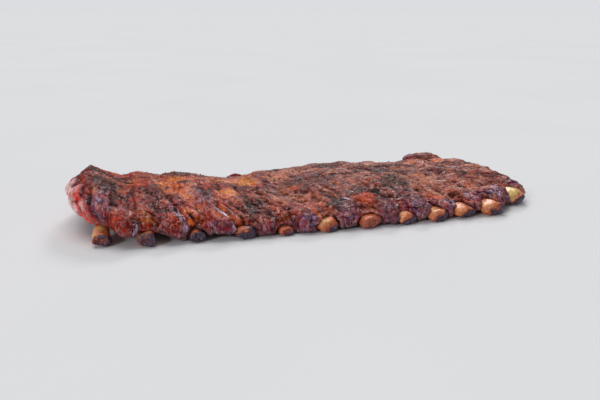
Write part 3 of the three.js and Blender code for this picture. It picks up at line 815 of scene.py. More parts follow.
def crust_masks(points, normals, mesh):
    """The share of each look over the meat."""
    near = wander(wander(points, 3.5, 7, 101), 1.6, 2.6, 131)
    x, y = points[:, 0], points[:, 1]
    cut, lobe = cut_share(rim_wander(points)), lobe_share(points, normals)
    right, far_right = rise(x, -120, 60), rise(x, 20, 90)
    over_rib = np.exp(-(rib_side(near) / 5.5) ** 2) * rise(normals[:, 2], -0.2, 0.5)
    front = fall(y, -8, 40)
    broken = rise(noise_at(near, 7, 141), -0.55, 0.9)
    laid, cords = seam_frame(near), cord_share(points, normals)
    fibres = fibre_share(points, normals)

    even = 0.5 * noise_at(near, 17, 211) + 0.5 * noise_at(near, 8, 217)
    long = 0.5 * noise_at(near, 12, 223, (3, 1, 1)) + 0.5 * noise_at(near, 4.5, 227, (7, 1, 1))
    down = 0.5 * noise_at(laid, 12, 229, (1, 2.5, 2)) + 0.5 * noise_at(laid, 5, 233, (1, 4, 3))
    tone = lerp(lerp(even, long, 0.7 * fibres), down, 0.6 * cords)
    scorched = lerp(0.4, 0.25, far_right) * spots(near, 13, 0.4, 151) * (1 - lobe)
    clear_fat = nearness(near, HONEY_PATCHES)
    patchy_fat = nearness(near, FAT_PATCHES) * rise(noise_at(near, 6, 161), -0.75, 0.9)
    basted = over_rib * broken * lerp(0.6, 0.15, right) * (0.25 + 0.75 * front) * rise(x, -166, 12)
    bed = run_nearness(near, BARE_BEDS)
    wet_skin = (run_nearness(wander(points, 1.8, 4, 181), PALE_RUNS)
                * rise(noise_at(laid, 3, 183, (1, 4, 2)), -0.45, 0.5))
    sinew = veins(laid, 9, 0.13, 239, (1, 4, 2)) * rise(noise_at(near, 9, 241), 0.05, 0.4)
    thin_skin = 0.7 * sinew * np.maximum(cords * front, 0.6 * lobe) * rise(x, -150, 20)
    # Painted sheen: violet over the lower part of each lobe.
    lobe_sheen = (lobe * lerp(0.6, 1.0, right) * fall(near[:, 2], lerp(14, 21, far_right), 9)
                  * (0.85 + 0.6 * noise_at(near, 9, 191)) * rise(noise_at(near, 5, 193), -0.7, 0.6))
    # Painted shade: a dark ring round each bone, the undersides of the lobes and the pits.
    bone_ring_shade = 0.8 * (1 - rise(rib_offset(points), 0.6, 2.0)) * fall(y, -45, 10)
    under_lobe_shade = 0.7 * lobe * rise(-normals[:, 2], 0.05, 0.5)
    pit_shade = [1 - smooth(np.linalg.norm(points - (px, py, pz), axis=1) / (1.5 * half) - 0.2)
             for px, py, pz, half, _ in PITS]

    masks = {
        "tone": 0.5 + 0.62 * tone + 0.06 * far_right - 0.02 * (1 - right),
        "cool": smooth((x + 115) / 95 + 0.9 * noise_at(near, 30, 251)),
        "cut": cut,
        "seam": seam_share(rim_wander(points)),
        "char": np.maximum(nearness(near, CHAR_PATCHES), scorched),
        "honey": clear_fat * (0.7 + 0.6 * noise_at(near, 4.5, 167)),
        "fat": (1 - bed) * np.maximum.reduce(
            [clear_fat, patchy_fat, run_nearness(near, FAT_RUNS), basted]),
        "red": np.maximum(nearness(near, RED_PATCHES), 0.6 * spots(near, 9, 0.45, 171)),
        "ember": np.maximum(nearness(near, EMBER_PATCHES), over_rib * broken * right * front * 0.35),
        "pale": np.maximum(wet_skin, thin_skin),
        "violet_sheen": np.maximum(nearness(near, VIOLET_SHEEN_PATCHES), lobe_sheen),
        "blush_and_highlight": nearness(near, BLUSH_HIGHLIGHT_PATCHES),
        "bare": run_nearness(wander(points, 0.9, 2.5, 199), BARE_RUNS),
        "bed": bed,
        "fibre": fibres,
        # Painted shade in the clefts, round the bones, under the lobes and in the pits.
        "cleft_shade": np.maximum.reduce([run_nearness(points, CLEFTS), bone_ring_shade, under_lobe_shade] + pit_shade),
        "height": standing_out(mesh, points, normals, BROAD_ROUNDS),
        # Standing edges, which the finish paints paler as highlights.
        "edge": standing_out(mesh, points, normals, FINE_ROUNDS) * 2,
    }
    for name in ("char", "fat", "red", "ember", "violet_sheen"):
        masks[name] = masks[name] * (1 - cut)
    return masks


# ---- the shape of a rib -----------------------------------------------------------------------

def rib_length(rib):
    """Length of a rib, from its tip to its sawn end behind the back edge."""
    return along(BACK_EDGE, np.array(rib.x + rib_lean(rib.x) * RIB_REACH)) + SAWN_PROUD - rib.y


def rib_section(rib, run):
    """Centre and half sizes of a rib's section, at a distance back from its tip."""
    whole = rib_length(rib)
    share = run / whole
    size = lerp(TIP_SIZE, 1, np.sqrt(np.clip(1 - np.maximum(0, 1 - run / TIP_LENGTH) ** 2, 0, 1)))
    knob = 1 - rise(run, KNOB_START, KNOB_LENGTH)
    flare = rise(share, SAWN_START, 1 - SAWN_START)
    half_width = (lerp(rib.shaft, rib.knob, knob) + SAWN_FLARE * flare) / 2
    half_height = lerp(half_width * rib.flatness, SAWN_HALF_HEIGHT, flare)
    arch = np.sin(math.pi * np.clip((run - RIB_RISE_START) / (whole - RIB_RISE_START), 0, 1))
    tip_height = rib.knob * rib.flatness / 2 + along(TIP_LIFT, np.array(rib.x))
    centre_z = lerp(tip_height, SAWN_HALF_HEIGHT, share) + along(RIB_RISE, np.array(rib.x)) * arch
    return rib.x + rib_lean(rib.x) * run, centre_z, half_width * size, half_height * size


def rib_points(rib, run, turn, swell=0.0):
    """Points on a rib, or on a skin around it: run goes back from its tip, and turn around it."""
    centre_x, centre_z, half_width, half_height = rib_section(rib, run)
    return np.stack(np.broadcast_arrays(
        centre_x - (half_width + swell) * np.cos(turn), rib.y + run,
        centre_z + (half_height + swell) * np.sin(turn)), -1)


def tip_runs(count):
    """Distances back over a bone's rounded tip."""
    return TIP_LENGTH * (1 - np.cos(np.linspace(0, math.pi / 2, count)))


def points_inward(rings):
    """Whether the directions that should lead out of these rings lead into them."""
    half = len(rings) // 2
    middle = rings[half]
    return ((middle - middle.mean(0)) * grid_normals(rings)[half]).sum() < 0


def outward_tube(rings):
    """A closed skin from rings, with its faces turned outwards."""
    points, faces = closed_tube(rings)
    return points, [face[::-1] for face in faces] if points_inward(rings) else faces


def closed_tube(rings):
    """Points of a closed skin from rings, with a pole in the middle of each end."""
    around = rings.shape[1]
    points = np.concatenate([rings[0].mean(0)[None], rings.reshape(-1, 3), rings[-1].mean(0)[None]])
    return points, tube_faces(len(rings), around)


def roll_points(roll, share, turn):
    """Points on a roll of meat: share runs from end to end, and turn runs around it."""
    start, end, full_radius, sag = roll
    bulge = np.sin(math.pi * share)
    radius = full_radius * np.maximum(bulge, 0) ** ROLL_BLUNTNESS
    line = [lerp(start[axis], end[axis], share) for axis in range(3)]
    return np.stack(np.broadcast_arrays(
        line[0], line[1] + ROLL_WIDTH * radius * np.cos(turn),
        line[2] + sag * bulge + radius * np.sin(turn)), -1)


# ---- finishes ---------------------------------------------------------------------------------

class Finish:
    """A material, with short ways to lay out its nodes."""

    def __init__(self, name):
        self.material = bpy.data.materials.new(name)
        self.material.use_nodes = True
        self.tree = self.material.node_tree
        self.shader = self.tree.nodes["Principled BSDF"]
        self.place = self.tree.nodes.new("ShaderNodeTexCoord").outputs["Object"]

    def node(self, kind, plugs=(), **settings):
        made = self.tree.nodes.new(kind)
        for name, value in settings.items():
            setattr(made, name, value)
        for socket, value in dict(plugs).items():
            self.plug(made.inputs[socket], value)
        return made

    def plug(self, socket, value):
        if isinstance(value, bpy.types.NodeSocket):
            self.tree.links.new(value, socket)
        elif socket.type == "RGBA":
            socket.default_value = (*value, 1) if len(value) == 3 else value
        else:
            socket.default_value = value

    def set(self, **sockets):
        for name, value in sockets.items():
            self.plug(self.shader.inputs[name.replace("_", " ")], value)

    def mask(self, name):
        return self.node("ShaderNodeAttribute", attribute_name=name).outputs["Fac"]

    def math(self, operation, a, b=0.0, limit=False):
        made = self.node("ShaderNodeMath", {0: a, 1: b}, operation=operation, use_clamp=limit)
        return made.outputs[0]

    def times(self, *values):
        product = values[0]
        for value in values[1:]:
            product = self.math("MULTIPLY", product, value)
        return product

    def plus(self, a, b, limit=False):
        return self.math("ADD", a, b, limit)

    def rest(self, value):
        """What is left of 1."""
        return self.math("SUBTRACT", 1.0, value, True)

    def level(self, value, low, high, to=(0.0, 1.0)):
        """A value eased from one range to another."""
        plugs = {"Value": value, "From Min": low, "From Max": high, "To Min": to[0], "To Max": to[1]}
        return self.node("ShaderNodeMapRange", plugs, interpolation_type="SMOOTHSTEP").outputs[0]

    def scaled(self, size, stretch):
        """The place on the object, in steps of a size in millimetres."""
        scale = [1 / (MM * size * s) for s in stretch]
        made = self.node("ShaderNodeVectorMath", {0: self.place, 1: scale}, operation="MULTIPLY")
        return made.outputs[0]

    def noise(self, size, detail=2.0, roughness=0.55, stretch=(1, 1, 1), warp=0.0):
        """Noise with features of a size in millimetres."""
        plugs = {"Vector": self.scaled(size, stretch), "Scale": 1.0, "Detail": detail,
                 "Roughness": roughness, "Distortion": warp}
        return self.node("ShaderNodeTexNoise", plugs).outputs["Fac"]

    def cells(self, size):
        """Cells of a size in millimetres."""
        plugs = {"Vector": self.scaled(size, (1, 1, 1)), "Scale": 1.0}
        return self.node("ShaderNodeTexVoronoi", plugs).outputs

    def blend(self, share, a, b, mode="MIX"):
        made = self.node("ShaderNodeMix", data_type="RGBA", blend_type=mode)
        self.plug(made.inputs[0], share)
        self.plug(made.inputs[6], a)
        self.plug(made.inputs[7], b)
        return made.outputs[2]

    def ramp(self, value, stops):
        made = self.node("ShaderNodeValToRGB", {"Fac": value})
        row = made.color_ramp.elements
        while len(row) < len(stops):
            row.new(0.5)
        for element, (place, shade) in zip(row, stops):
            element.position, element.color = place, (*shade, 1)
        return made.outputs["Color"]

    def bump(self, height, distance, strength=1.0, under=None):
        plugs = {"Height": height, "Distance": distance, "Strength": strength}
        if under is not None:
            plugs["Normal"] = under
        return self.node("ShaderNodeBump", plugs).outputs["Normal"]


CRUST_MASKS = ("tone", "cool", "cut", "seam", "char", "fat", "red", "ember", "pale", "violet_sheen", "blush_and_highlight",
               "bare", "bed", "honey", "fibre", "cleft_shade", "height", "edge")


def crust_finish(c):
    """The look of the meat, from its dry crust up to the wet glaze."""
    f = Finish("smoked_crust")
    share = {name: f.mask(name) for name in CRUST_MASKS}
    middle, fine, grit = f.noise(6, 3, 0.6), f.noise(2.6, 3, 0.65), f.noise(0.95, 2, 0.6)
    streak = f.noise(2.6, 3, 0.6, stretch=(8, 1, 1), warp=0.3)
    strand = f.noise(2.2, 3, 0.6, stretch=(1, 5, 3), warp=0.4)
    lines = f.blend(share["fibre"], strand, streak)

    # The dry crust, from its deep folds to its palest parts.
    tone = f.plus(share["tone"], f.times(f.math("SUBTRACT", fine, 0.5), 0.5))
    warm = f.ramp(tone, [(0.2, c.dark), (0.4, c.brown), (0.56, c.rust), (0.7, c.tan),
                         (0.86, c.honey)])
    cool = f.ramp(tone, [(0.2, c.dark), (0.36, c.slate), (0.5, c.mauve), (0.66, c.rose),
                         (0.84, c.sand)])
    base = f.blend(share["cool"], warm, cool)

    # What lies over it.
    clear = f.plus(f.level(f.noise(5, 2), 0.46, 0.64), share["honey"], True)
    fat = f.blend(clear, c.fat, c.honey)
    # The wet lobes: magenta meat under a painted violet sheen, with painted lavender glints and painted
    # dark shade between the lumps.
    plum = f.blend(f.level(f.noise(6.5, 2, 0.5), 0.46, 0.56), c.violet_sheen, c.magenta)
    plum = f.blend(f.level(f.noise(3.0, 2, 0.5), 0.56, 0.66), plum, c.lavender_highlight)
    plum = f.blend(f.level(f.noise(3.4, 2, 0.5), 0.43, 0.34), plum, c.dark)
    uneven = f.level(fine, 0.34, 0.52, (0.65, 1.0))
    for name, tint, weight in (("char", c.char, 0.9), ("violet_sheen", plum, 0.95), ("red", c.red, 0.9),
                               ("ember", c.ember, 1.0), ("fat", fat, 1.0)):
        base = f.blend(f.times(share[name], uneven, weight), base, tint)

    # Dark and pale grains set in its dry parts.
    slick = f.plus(f.math("MAXIMUM", share["cut"], share["bare"]),
                   f.times(f.plus(share["violet_sheen"], share["fat"]), 0.75), True)
    dry = f.rest(slick)
    grain_cells = f.cells(1.7)
    in_grain = f.level(grain_cells["Distance"], 0.34, 0.2)
    pick = f.node("ShaderNodeSeparateColor", {0: grain_cells["Color"]}).outputs
    base = f.blend(f.times(f.level(pick[0], 0.72, 0.76), in_grain, dry, 0.6), base, c.dark)
    base = f.blend(f.times(f.level(pick[1], 0.90, 0.93), in_grain, dry, 0.5), base, c.speck_and_glint)

    # The sliced end with its painted highlight and glistening strands, its groove, the pale skin, and
    # the beds of the bare shafts, painted with shade.
    flesh = f.blend(f.level(f.noise(7, 3), 0.5, 0.68), c.cut, c.red)
    flesh = f.blend(f.level(f.noise(9, 2), 0.5, 0.6, (0.0, 0.7)), flesh, c.ember)
    flesh = f.blend(share["blush_and_highlight"], flesh, c.blush_and_highlight)
    sheen_threads = f.level(f.noise(2.6, 3, 0.6, stretch=(1, 1, 3)), 0.54, 0.64)
    flesh = f.blend(f.times(sheen_threads, f.level(share["blush_and_highlight"], 0.0, 0.6, (0.15, 0.8))), flesh, c.wet)
    base = f.blend(share["cut"], base, flesh)
    base = f.blend(f.times(share["seam"], 0.9), base, c.groove)
    base = f.blend(f.times(share["pale"], f.level(middle, 0.3, 0.55, (0.35, 0.85))), base, c.pale)
    # Painted shade in the sunken beds of the bare shafts.
    base = f.blend(f.times(share["bed"], 0.7), base, c.dark)

    # Lines and grit, which are fainter where the crust is glassy.
    grainy = f.rest(f.times(f.math("MAXIMUM", share["violet_sheen"], share["ember"]), 0.65))
    base = f.blend(grainy, base, f.level(lines, 0.38, 0.6, (0.62, 1.15)), "MULTIPLY")
    base = f.blend(grainy, base, f.level(grit, 0.3, 0.7, (0.72, 1.24)), "MULTIPLY")

    # Painted shade in the hollows and clefts, painted shade in dark strokes, painted glints, paler
    # standing edges as painted highlights, then the bare shafts.
    deep = f.math("MAXIMUM", f.level(share["cool"], 0.0, 1.0, (1.0, 0.75)), share["violet_sheen"])
    rough_parts = f.rest(f.times(f.math("MAXIMUM", share["fat"], share["ember"]), 0.7))
    sunk_shade = f.times(f.level(share["height"], 0.1, -0.8), deep, rough_parts)
    sunk_shade = f.math("MAXIMUM", sunk_shade, share["cleft_shade"])
    base = f.blend(f.times(sunk_shade, 0.94), base, SUNK_SHADE_TINT, "MULTIPLY")
    stroke = f.blend(share["fibre"], f.noise(1.3, 2, 0.6, stretch=(1, 3, 2)),
                     f.noise(1.3, 2, 0.6, stretch=(4, 1, 1)))
    glint = f.times(f.level(stroke, 0.55, 0.62), f.level(f.noise(8, 2), 0.45, 0.57),
                    f.rest(f.times(share["char"], 0.6)))
    # Painted shade: thin dark strokes that stand for fine shadowed creases.
    base = f.blend(f.times(f.level(stroke, 0.42, 0.33), grainy, 0.6), base, STROKE_SHADE_TINT, "MULTIPLY")
    # Painted highlights: pale glints, and paler standing edges.
    base = f.blend(f.times(glint, 0.6), base, c.speck_and_glint)
    base = f.blend(f.times(f.level(share["edge"], 0.1, 0.7), 0.25), base, f.blend(0.5, base, c.speck_and_glint))
    shaft = f.blend(f.level(strand, 0.36, 0.6), c.ember, f.blend(share["pale"], fat, c.honey))
    base = f.blend(share["bare"], base, shaft)

    # Wet parts are smoother and carry more of the glaze, and hollows carry less.
    damp = f.plus(f.times(share["pale"], 0.5), f.times(share["red"], 0.5))
    wet = f.plus(f.times(slick, 0.7), damp, True)
    rough = f.level(f.noise(3.4, 3, 0.6), 0.35, 0.65, (c.roughness - 0.18, c.roughness + 0.16))
    rough = f.math("SUBTRACT", rough, f.times(wet, 0.2), True)
    coat = f.level(f.noise(4.2, 3, 0.65), 0.53, 0.62, (0.02, c.glaze))
    coat = f.plus(coat, f.plus(f.times(wet, 0.3), f.times(glint, 0.4)), True)
    coat = f.plus(coat, f.times(share["violet_sheen"], 0.12), True)
    coat = f.times(coat, f.level(share["height"], -0.6, 0.2, (0.05, 1.0)))

    depth = c.grit_depth
    relief = f.bump(lines, depth * 1.4, 0.7)
    relief = f.bump(fine, depth * 1.6, 0.8, relief)
    relief = f.bump(grit, depth * 0.9, f.plus(f.times(dry, 0.75), 0.12), relief)
    relief = f.bump(in_grain, depth * 0.5, f.times(dry, 0.7), relief)
    f.set(Base_Color=base, Roughness=rough, Coat_Weight=coat, Coat_Roughness=0.1, Normal=relief,
          Coat_Normal=relief, Specular_IOR_Level=0.08, Coat_IOR=1.42, Subsurface_Weight=0.1,
          Subsurface_Radius=(1.0, 0.35, 0.2), Subsurface_Scale=0.0025)
    return f.material


def bone_finish(c):
    """The look of a bone, from clean ivory to its scorched and spongy tip."""
    f = Finish("smoked_bone")
    scorch = f.mask("scorch")
    mottle = f.noise(2.8, 3, 0.65)
    tone = f.plus(f.mask("tone"), f.times(f.math("SUBTRACT", mottle, 0.5), 1.1), True)
    base = f.ramp(tone, [(0.05, c.ivory), (0.32, c.tan), (0.6, c.orange), (0.95, c.red)])
    grain = f.noise(0.8, 3, 0.6, stretch=(1, 7, 1))
    base = f.blend(f.times(f.level(grain, 0.5, 0.68), 0.35), base, c.red)
    spongy = f.times(f.level(f.cells(1.1)["Distance"], 0.36, 0.16), f.mask("face"))
    base = f.blend(f.times(spongy, 0.7), base, c.char)
    base = f.blend(f.level(scorch, 0.05, 0.5), base, c.rust)
    burnt = f.times(f.level(scorch, 0.4, 1.0), f.level(f.noise(1.6, 3), 0.3, 0.5, (0.6, 1.0)))
    base = f.blend(burnt, base, c.char)
    # Pale flecks on the scorch, partly painted glints.
    base = f.blend(f.times(f.level(f.noise(1.3, 3), 0.52, 0.62), scorch, 0.55), base, c.ash_and_glint)
    # Painted shade in the bone's hollows.
    base = f.blend(f.times(f.level(f.mask("height"), 0.05, -0.5), 0.6), base, HOLLOW_SHADE_TINT, "MULTIPLY")
    # A reddish stain and painted shade where the bone lies close to the meat.
    base = f.blend(f.times(f.mask("bedded_stain_and_shade"), 0.5), base, BEDDED_STAIN_AND_SHADE_TINT, "MULTIPLY")
    rough = f.level(mottle, 0.35, 0.65, (c.roughness - 0.12, c.roughness + 0.12))
    rough = f.plus(rough, f.times(scorch, 0.12), True)
    relief = f.bump(grain, 0.0004, 0.6)
    relief = f.bump(f.noise(1.4, 3), 0.0006, f.plus(f.times(scorch, 0.7), 0.2), relief)
    relief = f.bump(spongy, -0.0006, 0.8, relief)
    f.set(Base_Color=base, Roughness=rough, Normal=relief, Coat_Normal=relief, Coat_Weight=0.35,
          Coat_Roughness=0.25, Subsurface_Weight=0.15, Subsurface_Radius=(1.0, 0.6, 0.35),
          Subsurface_Scale=0.002)
    return f.material


def grain_finish(name, shade, roughness, coat, variety=0.6):
    """The look of loose grains or beads, some darker than others."""
    f = Finish(name)
    base = f.blend(f.times(f.mask("tint"), variety), shade, [0.3 * v for v in shade])
    base = f.blend(f.level(f.noise(0.4, 2), 0.4, 0.7), base, [min(1, 1.25 * v) for v in shade])
    rough = f.level(f.noise(0.5, 2), 0.3, 0.7, (roughness - 0.1, roughness + 0.1))
    f.set(Base_Color=base, Roughness=rough, Coat_Weight=coat, Coat_Roughness=0.15,
          Specular_IOR_Level=0.1, Normal=f.bump(f.noise(0.25, 2), 0.0001, 0.6))
    return f.material


def dress(made, material, slot, *nodes):
    """Gives a piece its finish, sets it on the rack, and lets it stand for nodes of the solid part."""
    made.data.materials.clear()
    made.data.materials.append(material)
    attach(made, BODY)
    if nodes:
        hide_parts(*nodes)


# ---- operators --------------------------------------------------------------------------------

def largest_piece(mesh):
    """Deletes the loose scraps that a cut leaves."""
    shape = bmesh.new()
    shape.from_mesh(mesh)
    shape.verts.ensure_lookup_table()
    seen, groups = set(), []
    for start in shape.verts:
        if start.index in seen:
            continue
        seen.add(start.index)
        group, queue = [start], [start]
        while queue:
            for edge in queue.pop().link_edges:
                for vert in edge.verts:
                    if vert.index not in seen:
                        seen.add(vert.index)
                        group.append(vert)
                        queue.append(vert)
        groups.append(group)
    groups.sort(key=len)
    for group in groups[:-1]:
        bmesh.ops.delete(shape, geom=group, context="VERTS")
    shape.to_mesh(mesh)
    shape.free()


def combine(target, others, operation):
    """Joins other objects to a target, or cuts them out of it, and removes them."""
    tools = bpy.data.collections.new("tools")
    bpy.context.scene.collection.children.link(tools)
    for other in others:
        bpy.context.scene.collection.objects.unlink(other)
        tools.objects.link(other)
    step = target.modifiers.new("combine", "BOOLEAN")
    step.operation, step.solver = operation, "MANIFOLD"
    step.operand_type, step.collection = "COLLECTION", tools
    depsgraph = bpy.context.evaluated_depsgraph_get()
    result = bpy.data.meshes.new_from_object(target.evaluated_get(depsgraph))
    target.modifiers.clear()
    target.data = result
    for other in others:
        bpy.data.objects.remove(other)
    bpy.data.collections.remove(tools)


class RIBRACK_OT_add_meat(bpy.types.Operator):
    """Adds the slab of meat with its crust, its trimmings and the channels of the ribs"""

    bl_idname = "ribrack.add_meat"
    bl_label = "Add Meat"

    def execute(self, context):
        sizes = context.scene.ribrack_crust
        step = sizes.spacing / MM
        rows, turns = fine_rows(step), fine_turns(step, UNDERSIDE_STEP * step)
        grid = meat_points(rows[:, None], turns[None, :]) - MIDDLE
        normals = grid_normals(grid)
        skin, out = grid[1:-1].reshape(-1, 3), normals[1:-1].reshape(-1, 3)
        skin = skin + out * crust_relief(skin, out, sizes)[:, None]
        skin[:, 2] = np.maximum(skin[:, 2], MEAT_FLOOR)
        meat = make_object("meat_crust", *closed_tube(skin.reshape(len(rows) - 2, len(turns), 3)))

        combine(meat, [self.roll(roll, sizes) for roll in (CURL, TAG)], "UNION")
        combine(meat, [self.channel(i, rib) for i, rib in enumerate(RIBS)], "DIFFERENCE")
        largest_piece(meat.data)
        meat.data.name = meat.name
        meat.data.shade_smooth()
        meat.data.set_sharp_from_angle(angle=CREASE)
        points, normals = mesh_arrays(meat.data)
        store(meat.data, crust_masks(points, normals, meat.data))
        dress(meat, crust_finish(sizes), "crust", "meat")
        return {"FINISHED"}

    def roll(self, roll, sizes):
        share = (1 - np.cos(np.linspace(ROLL_END, math.pi - ROLL_END, ROLL_RINGS))) / 2
        rings = roll_points(roll, share[:, None], -full_turn(ROLL_TURNS)[None, :]) - MIDDLE
        flat = rings.reshape(-1, 3)
        out = grid_normals(rings).reshape(-1, 3)
        lumps = 1.2 * noise_at(flat, 7, 5) + 0.6 * ridges(flat, 3.2, 8, (2.5, 1, 1))
        flat = flat + out * lumps[:, None] * (sizes.wrinkle_depth / MM)
        return make_object("roll", *outward_tube(flat.reshape(rings.shape)))

    def channel(self, index, rib):
        shaft = np.linspace(TIP_LENGTH, rib_length(rib) + 2 * SAWN_PROUD, CHANNEL_RINGS)[1:]
        run = np.concatenate([tip_runs(CHANNEL_TIP_RINGS), shaft])
        rings = rib_points(rib, run[:, None], full_turn(CHANNEL_TURNS)[None, :], CLEARANCE) - MIDDLE
        return make_object(f"channel_{index}", *outward_tube(rings))


class RIBRACK_OT_add_bones(bpy.types.Operator):
    """Adds the twelve rib bones with their scorched tips and sawn ends"""

    bl_idname = "ribrack.add_bones"
    bl_label = "Add Bones"

    def execute(self, context):
        settings = context.scene.ribrack_bones
        material = bone_finish(settings)
        tree = BVHTree.FromObject(bpy.data.objects["meat_crust"], context.evaluated_depsgraph_get())
        for number, rib in enumerate(RIBS, 1):
            bone = self.bone(number, rib, settings, tree)
            dress(bone, material, "bone", f"rib_bone_{number:02d}")
        return {"FINISHED"}

    def bone(self, number, rib, settings, tree):
        step = settings.spacing / MM
        whole = float(rib_length(rib))
        # Each stretch stops short of the next one's start, so that no two rings fall together.
        shown = np.arange(TIP_LENGTH, SHOWN_RUN - step / 2, step)[1:]
        hidden = np.arange(SHOWN_RUN, whole - SAWN_RUN - step / 2, HIDDEN_STEP * step)
        back = np.arange(whole - SAWN_RUN, whole - step / 4, step)
        run = np.concatenate([tip_runs(TIP_RINGS), shown, hidden, back, [whole]])
        around = int(math.pi * (rib.knob + rib.shaft) / 2 / step)
        rings = rib_points(rib, run[:, None], full_turn(around)[None, :])
        tip_face, sawn_face = self.end_face(rings[0], 1), self.end_face(rings[-1], -1)
        rings = np.concatenate([tip_face[::-1], rings, sawn_face]) - MIDDLE
        flat, out = rings.reshape(-1, 3), grid_normals(rings).reshape(-1, 3)
        if points_inward(rings):
            out = -out

        own = flat + OWN_NOISE * number
        run_at = flat[:, 1] + MIDDLE[1] - rib.y
        centre_x, centre_z, half_width, half_height = rib_section(rib, np.maximum(run_at, 0))
        rightward = (flat[:, 0] + MIDDLE[0] - centre_x) / half_width
        downward = (centre_z - flat[:, 2]) / half_height
        # The scorch leans to the lower right, where it also paints the shaded side of each tip darker.
        lean = (1 - rib.lean) + rib.lean * (0.75 * rightward + 0.75 * downward + rib.cover)
        uneven = 3.2 * noise_at(own, 5, 3) + 2.2 * noise_at(own, 1.8, 5)
        scorch = smooth((rib.scorch * lean + uneven - run_at) / 4.5 + 0.3)
        # Painted highlight: the clean share makes the upper left of each tip paler, nearer ivory.
        clean = smooth(0.8 * (-rightward - downward) + 0.3 * noise_at(own, 5, 41))

        depth = settings.lump_depth / MM
        lumps = (0.9 * noise_at(own, 5.5, 11) + 0.4 * noise_at(own, 2.0, 17)
                 + 4.0 * fall(run_at, 16, 8) * noise_at(own, 6, 37))
        crusty = 1.1 * ridges(own, 2.6, 23) * scorch
        tips = fall(run_at, TIP_LENGTH, 3) + rise(run_at, whole - 1.5, 1.5)
        spongy = -1.2 * tips * spots(own, 1.9, 0.3, 29)
        flat = flat + out * depth * (lumps + crusty + spongy)[:, None]
        flat[:, 2] = np.maximum(flat[:, 2], 0.0)
        bone = make_object(f"bone_{number:02d}", *outward_tube(flat.reshape(rings.shape)))

        points, normals = mesh_arrays(bone.data)
        edge = along(FRONT_EDGE, np.array(rib.x)) - MIDDLE[1]
        hidden_part = rise(points[:, 1], edge + 10, 10) * fall(points[:, 1], 52, 10)
        from_meat = np.array([tree.find_nearest(Vector(point * MM))[3] for point in points]) / MM
        store(bone.data, {
            # The upper left is made paler by the clean share, a painted highlight.
            "tone": (rib.tone + 0.55 * hidden_part + 0.12 * noise_at(points + OWN_NOISE * number, 8, 31)
                     + 0.1 - 0.26 * self.with_poles(clean)),
            # Darker and redder close to the meat: a stain and painted shade.
            "bedded_stain_and_shade": 1 - smooth(from_meat / 1.8),
            "scorch": self.with_poles(scorch),
            "face": rise(np.abs(normals[:, 1]), 0.55, 0.3),
            "height": standing_out(bone.data, points, normals, BONE_ROUNDS),
        })
        return bone

    def end_face(self, ring, direction):
        """Rings inwards over an end of a bone, which is slightly hollow."""
        centre = ring.mean(0)
        shrink = np.linspace(0.94, 0.06, END_RINGS)[:, None, None]
        inner = centre + (ring - centre) * shrink
        inner[..., 1] += direction * 0.9 * fall(shrink[..., 0], 0.85, 0.5)
        return inner

    def with_poles(self, values):
        """Values at the points of a bone's rings, and at the pole of each end."""
        return np.concatenate([values[:1], values, values[-1:]])


def icosahedron():
    gold = (1 + math.sqrt(5)) / 2
    points = np.array([(-1, gold, 0), (1, gold, 0), (-1, -gold, 0), (1, -gold, 0),
                       (0, -1, gold), (0, 1, gold), (0, -1, -gold), (0, 1, -gold),
                       (gold, 0, -1), (gold, 0, 1), (-gold, 0, -1), (-gold, 0, 1)])
    faces = np.array([(0, 11, 5), (0, 5, 1), (0, 1, 7), (0, 7, 10), (0, 10, 11), (1, 5, 9), (5, 11, 4),
                      (11, 10, 2), (10, 7, 6), (7, 1, 8), (3, 9, 4), (3, 4, 2), (3, 2, 6), (3, 6, 8),
                      (3, 8, 9), (4, 9, 5), (2, 4, 11), (6, 2, 10), (8, 6, 7), (9, 8, 1)])
    return points / np.linalg.norm(points[0]), faces


SMOOTHEST_GRAIN = 0.2                    # grains less uneven than this are drops, and shaded smooth


def scatter(name, mesh, draw, count, width, flatness, weight, sink, jitter=0.3):
    """One joined mesh of small grains, set on another mesh where a weight allows."""
    points, normals = mesh_arrays(mesh)
    mesh.calc_loop_triangles()
    corners = np.empty(len(mesh.loop_triangles) * 3, np.int32)
    mesh.loop_triangles.foreach_get("vertices", corners)
    corners = corners.reshape(-1, 3)
    a, b, c = (points[corners[:, k]] for k in range(3))
    area = np.linalg.norm(np.cross(b - a, c - a), axis=1)
    chance = area * weight(points, normals)[corners].mean(1)
    pick = draw.choice(len(corners), count, p=chance / chance.sum())
    u, v = draw.random((2, count, 1))
    flip = u + v > 1
    u, v = np.where(flip, 1 - u, u), np.where(flip, 1 - v, v)
    place = a[pick] + (b[pick] - a[pick]) * u + (c[pick] - a[pick]) * v
    up = normals[corners[pick]].mean(1)
    up /= np.linalg.norm(up, axis=1, keepdims=True)

    size = width * np.exp(draw.normal(0, 0.3, (count, 1, 1)))
    sidewise = np.cross(up, draw.normal(size=(count, 3)))
    sidewise /= np.linalg.norm(sidewise, axis=1, keepdims=True)
    axes = np.stack([sidewise, np.cross(up, sidewise), up], 1)
    shape, faces = icosahedron()
    stretch = np.stack([draw.uniform(0.7, 1.35, count), draw.uniform(0.6, 1.0, count),
                        flatness * draw.uniform(0.7, 1.2, count)], 1)[:, None]
    lumpy = shape[None] * (1 + jitter * draw.uniform(-1, 1, (count, len(shape), 1))) * stretch
    grains = place[:, None] + (lumpy @ axes + up[:, None] * (flatness - sink)) * size / 2
    grains[..., 2] = np.maximum(grains[..., 2], MEAT_FLOOR)
    offsets = np.arange(count)[:, None, None] * len(shape)
    made = make_object(name, grains.reshape(-1, 3), (faces[None] + offsets).reshape(-1, 3).tolist(),
                       shade_smooth=jitter < SMOOTHEST_GRAIN)
    store(made.data, {"tint": np.repeat(draw.random(count), len(shape))})
    return made


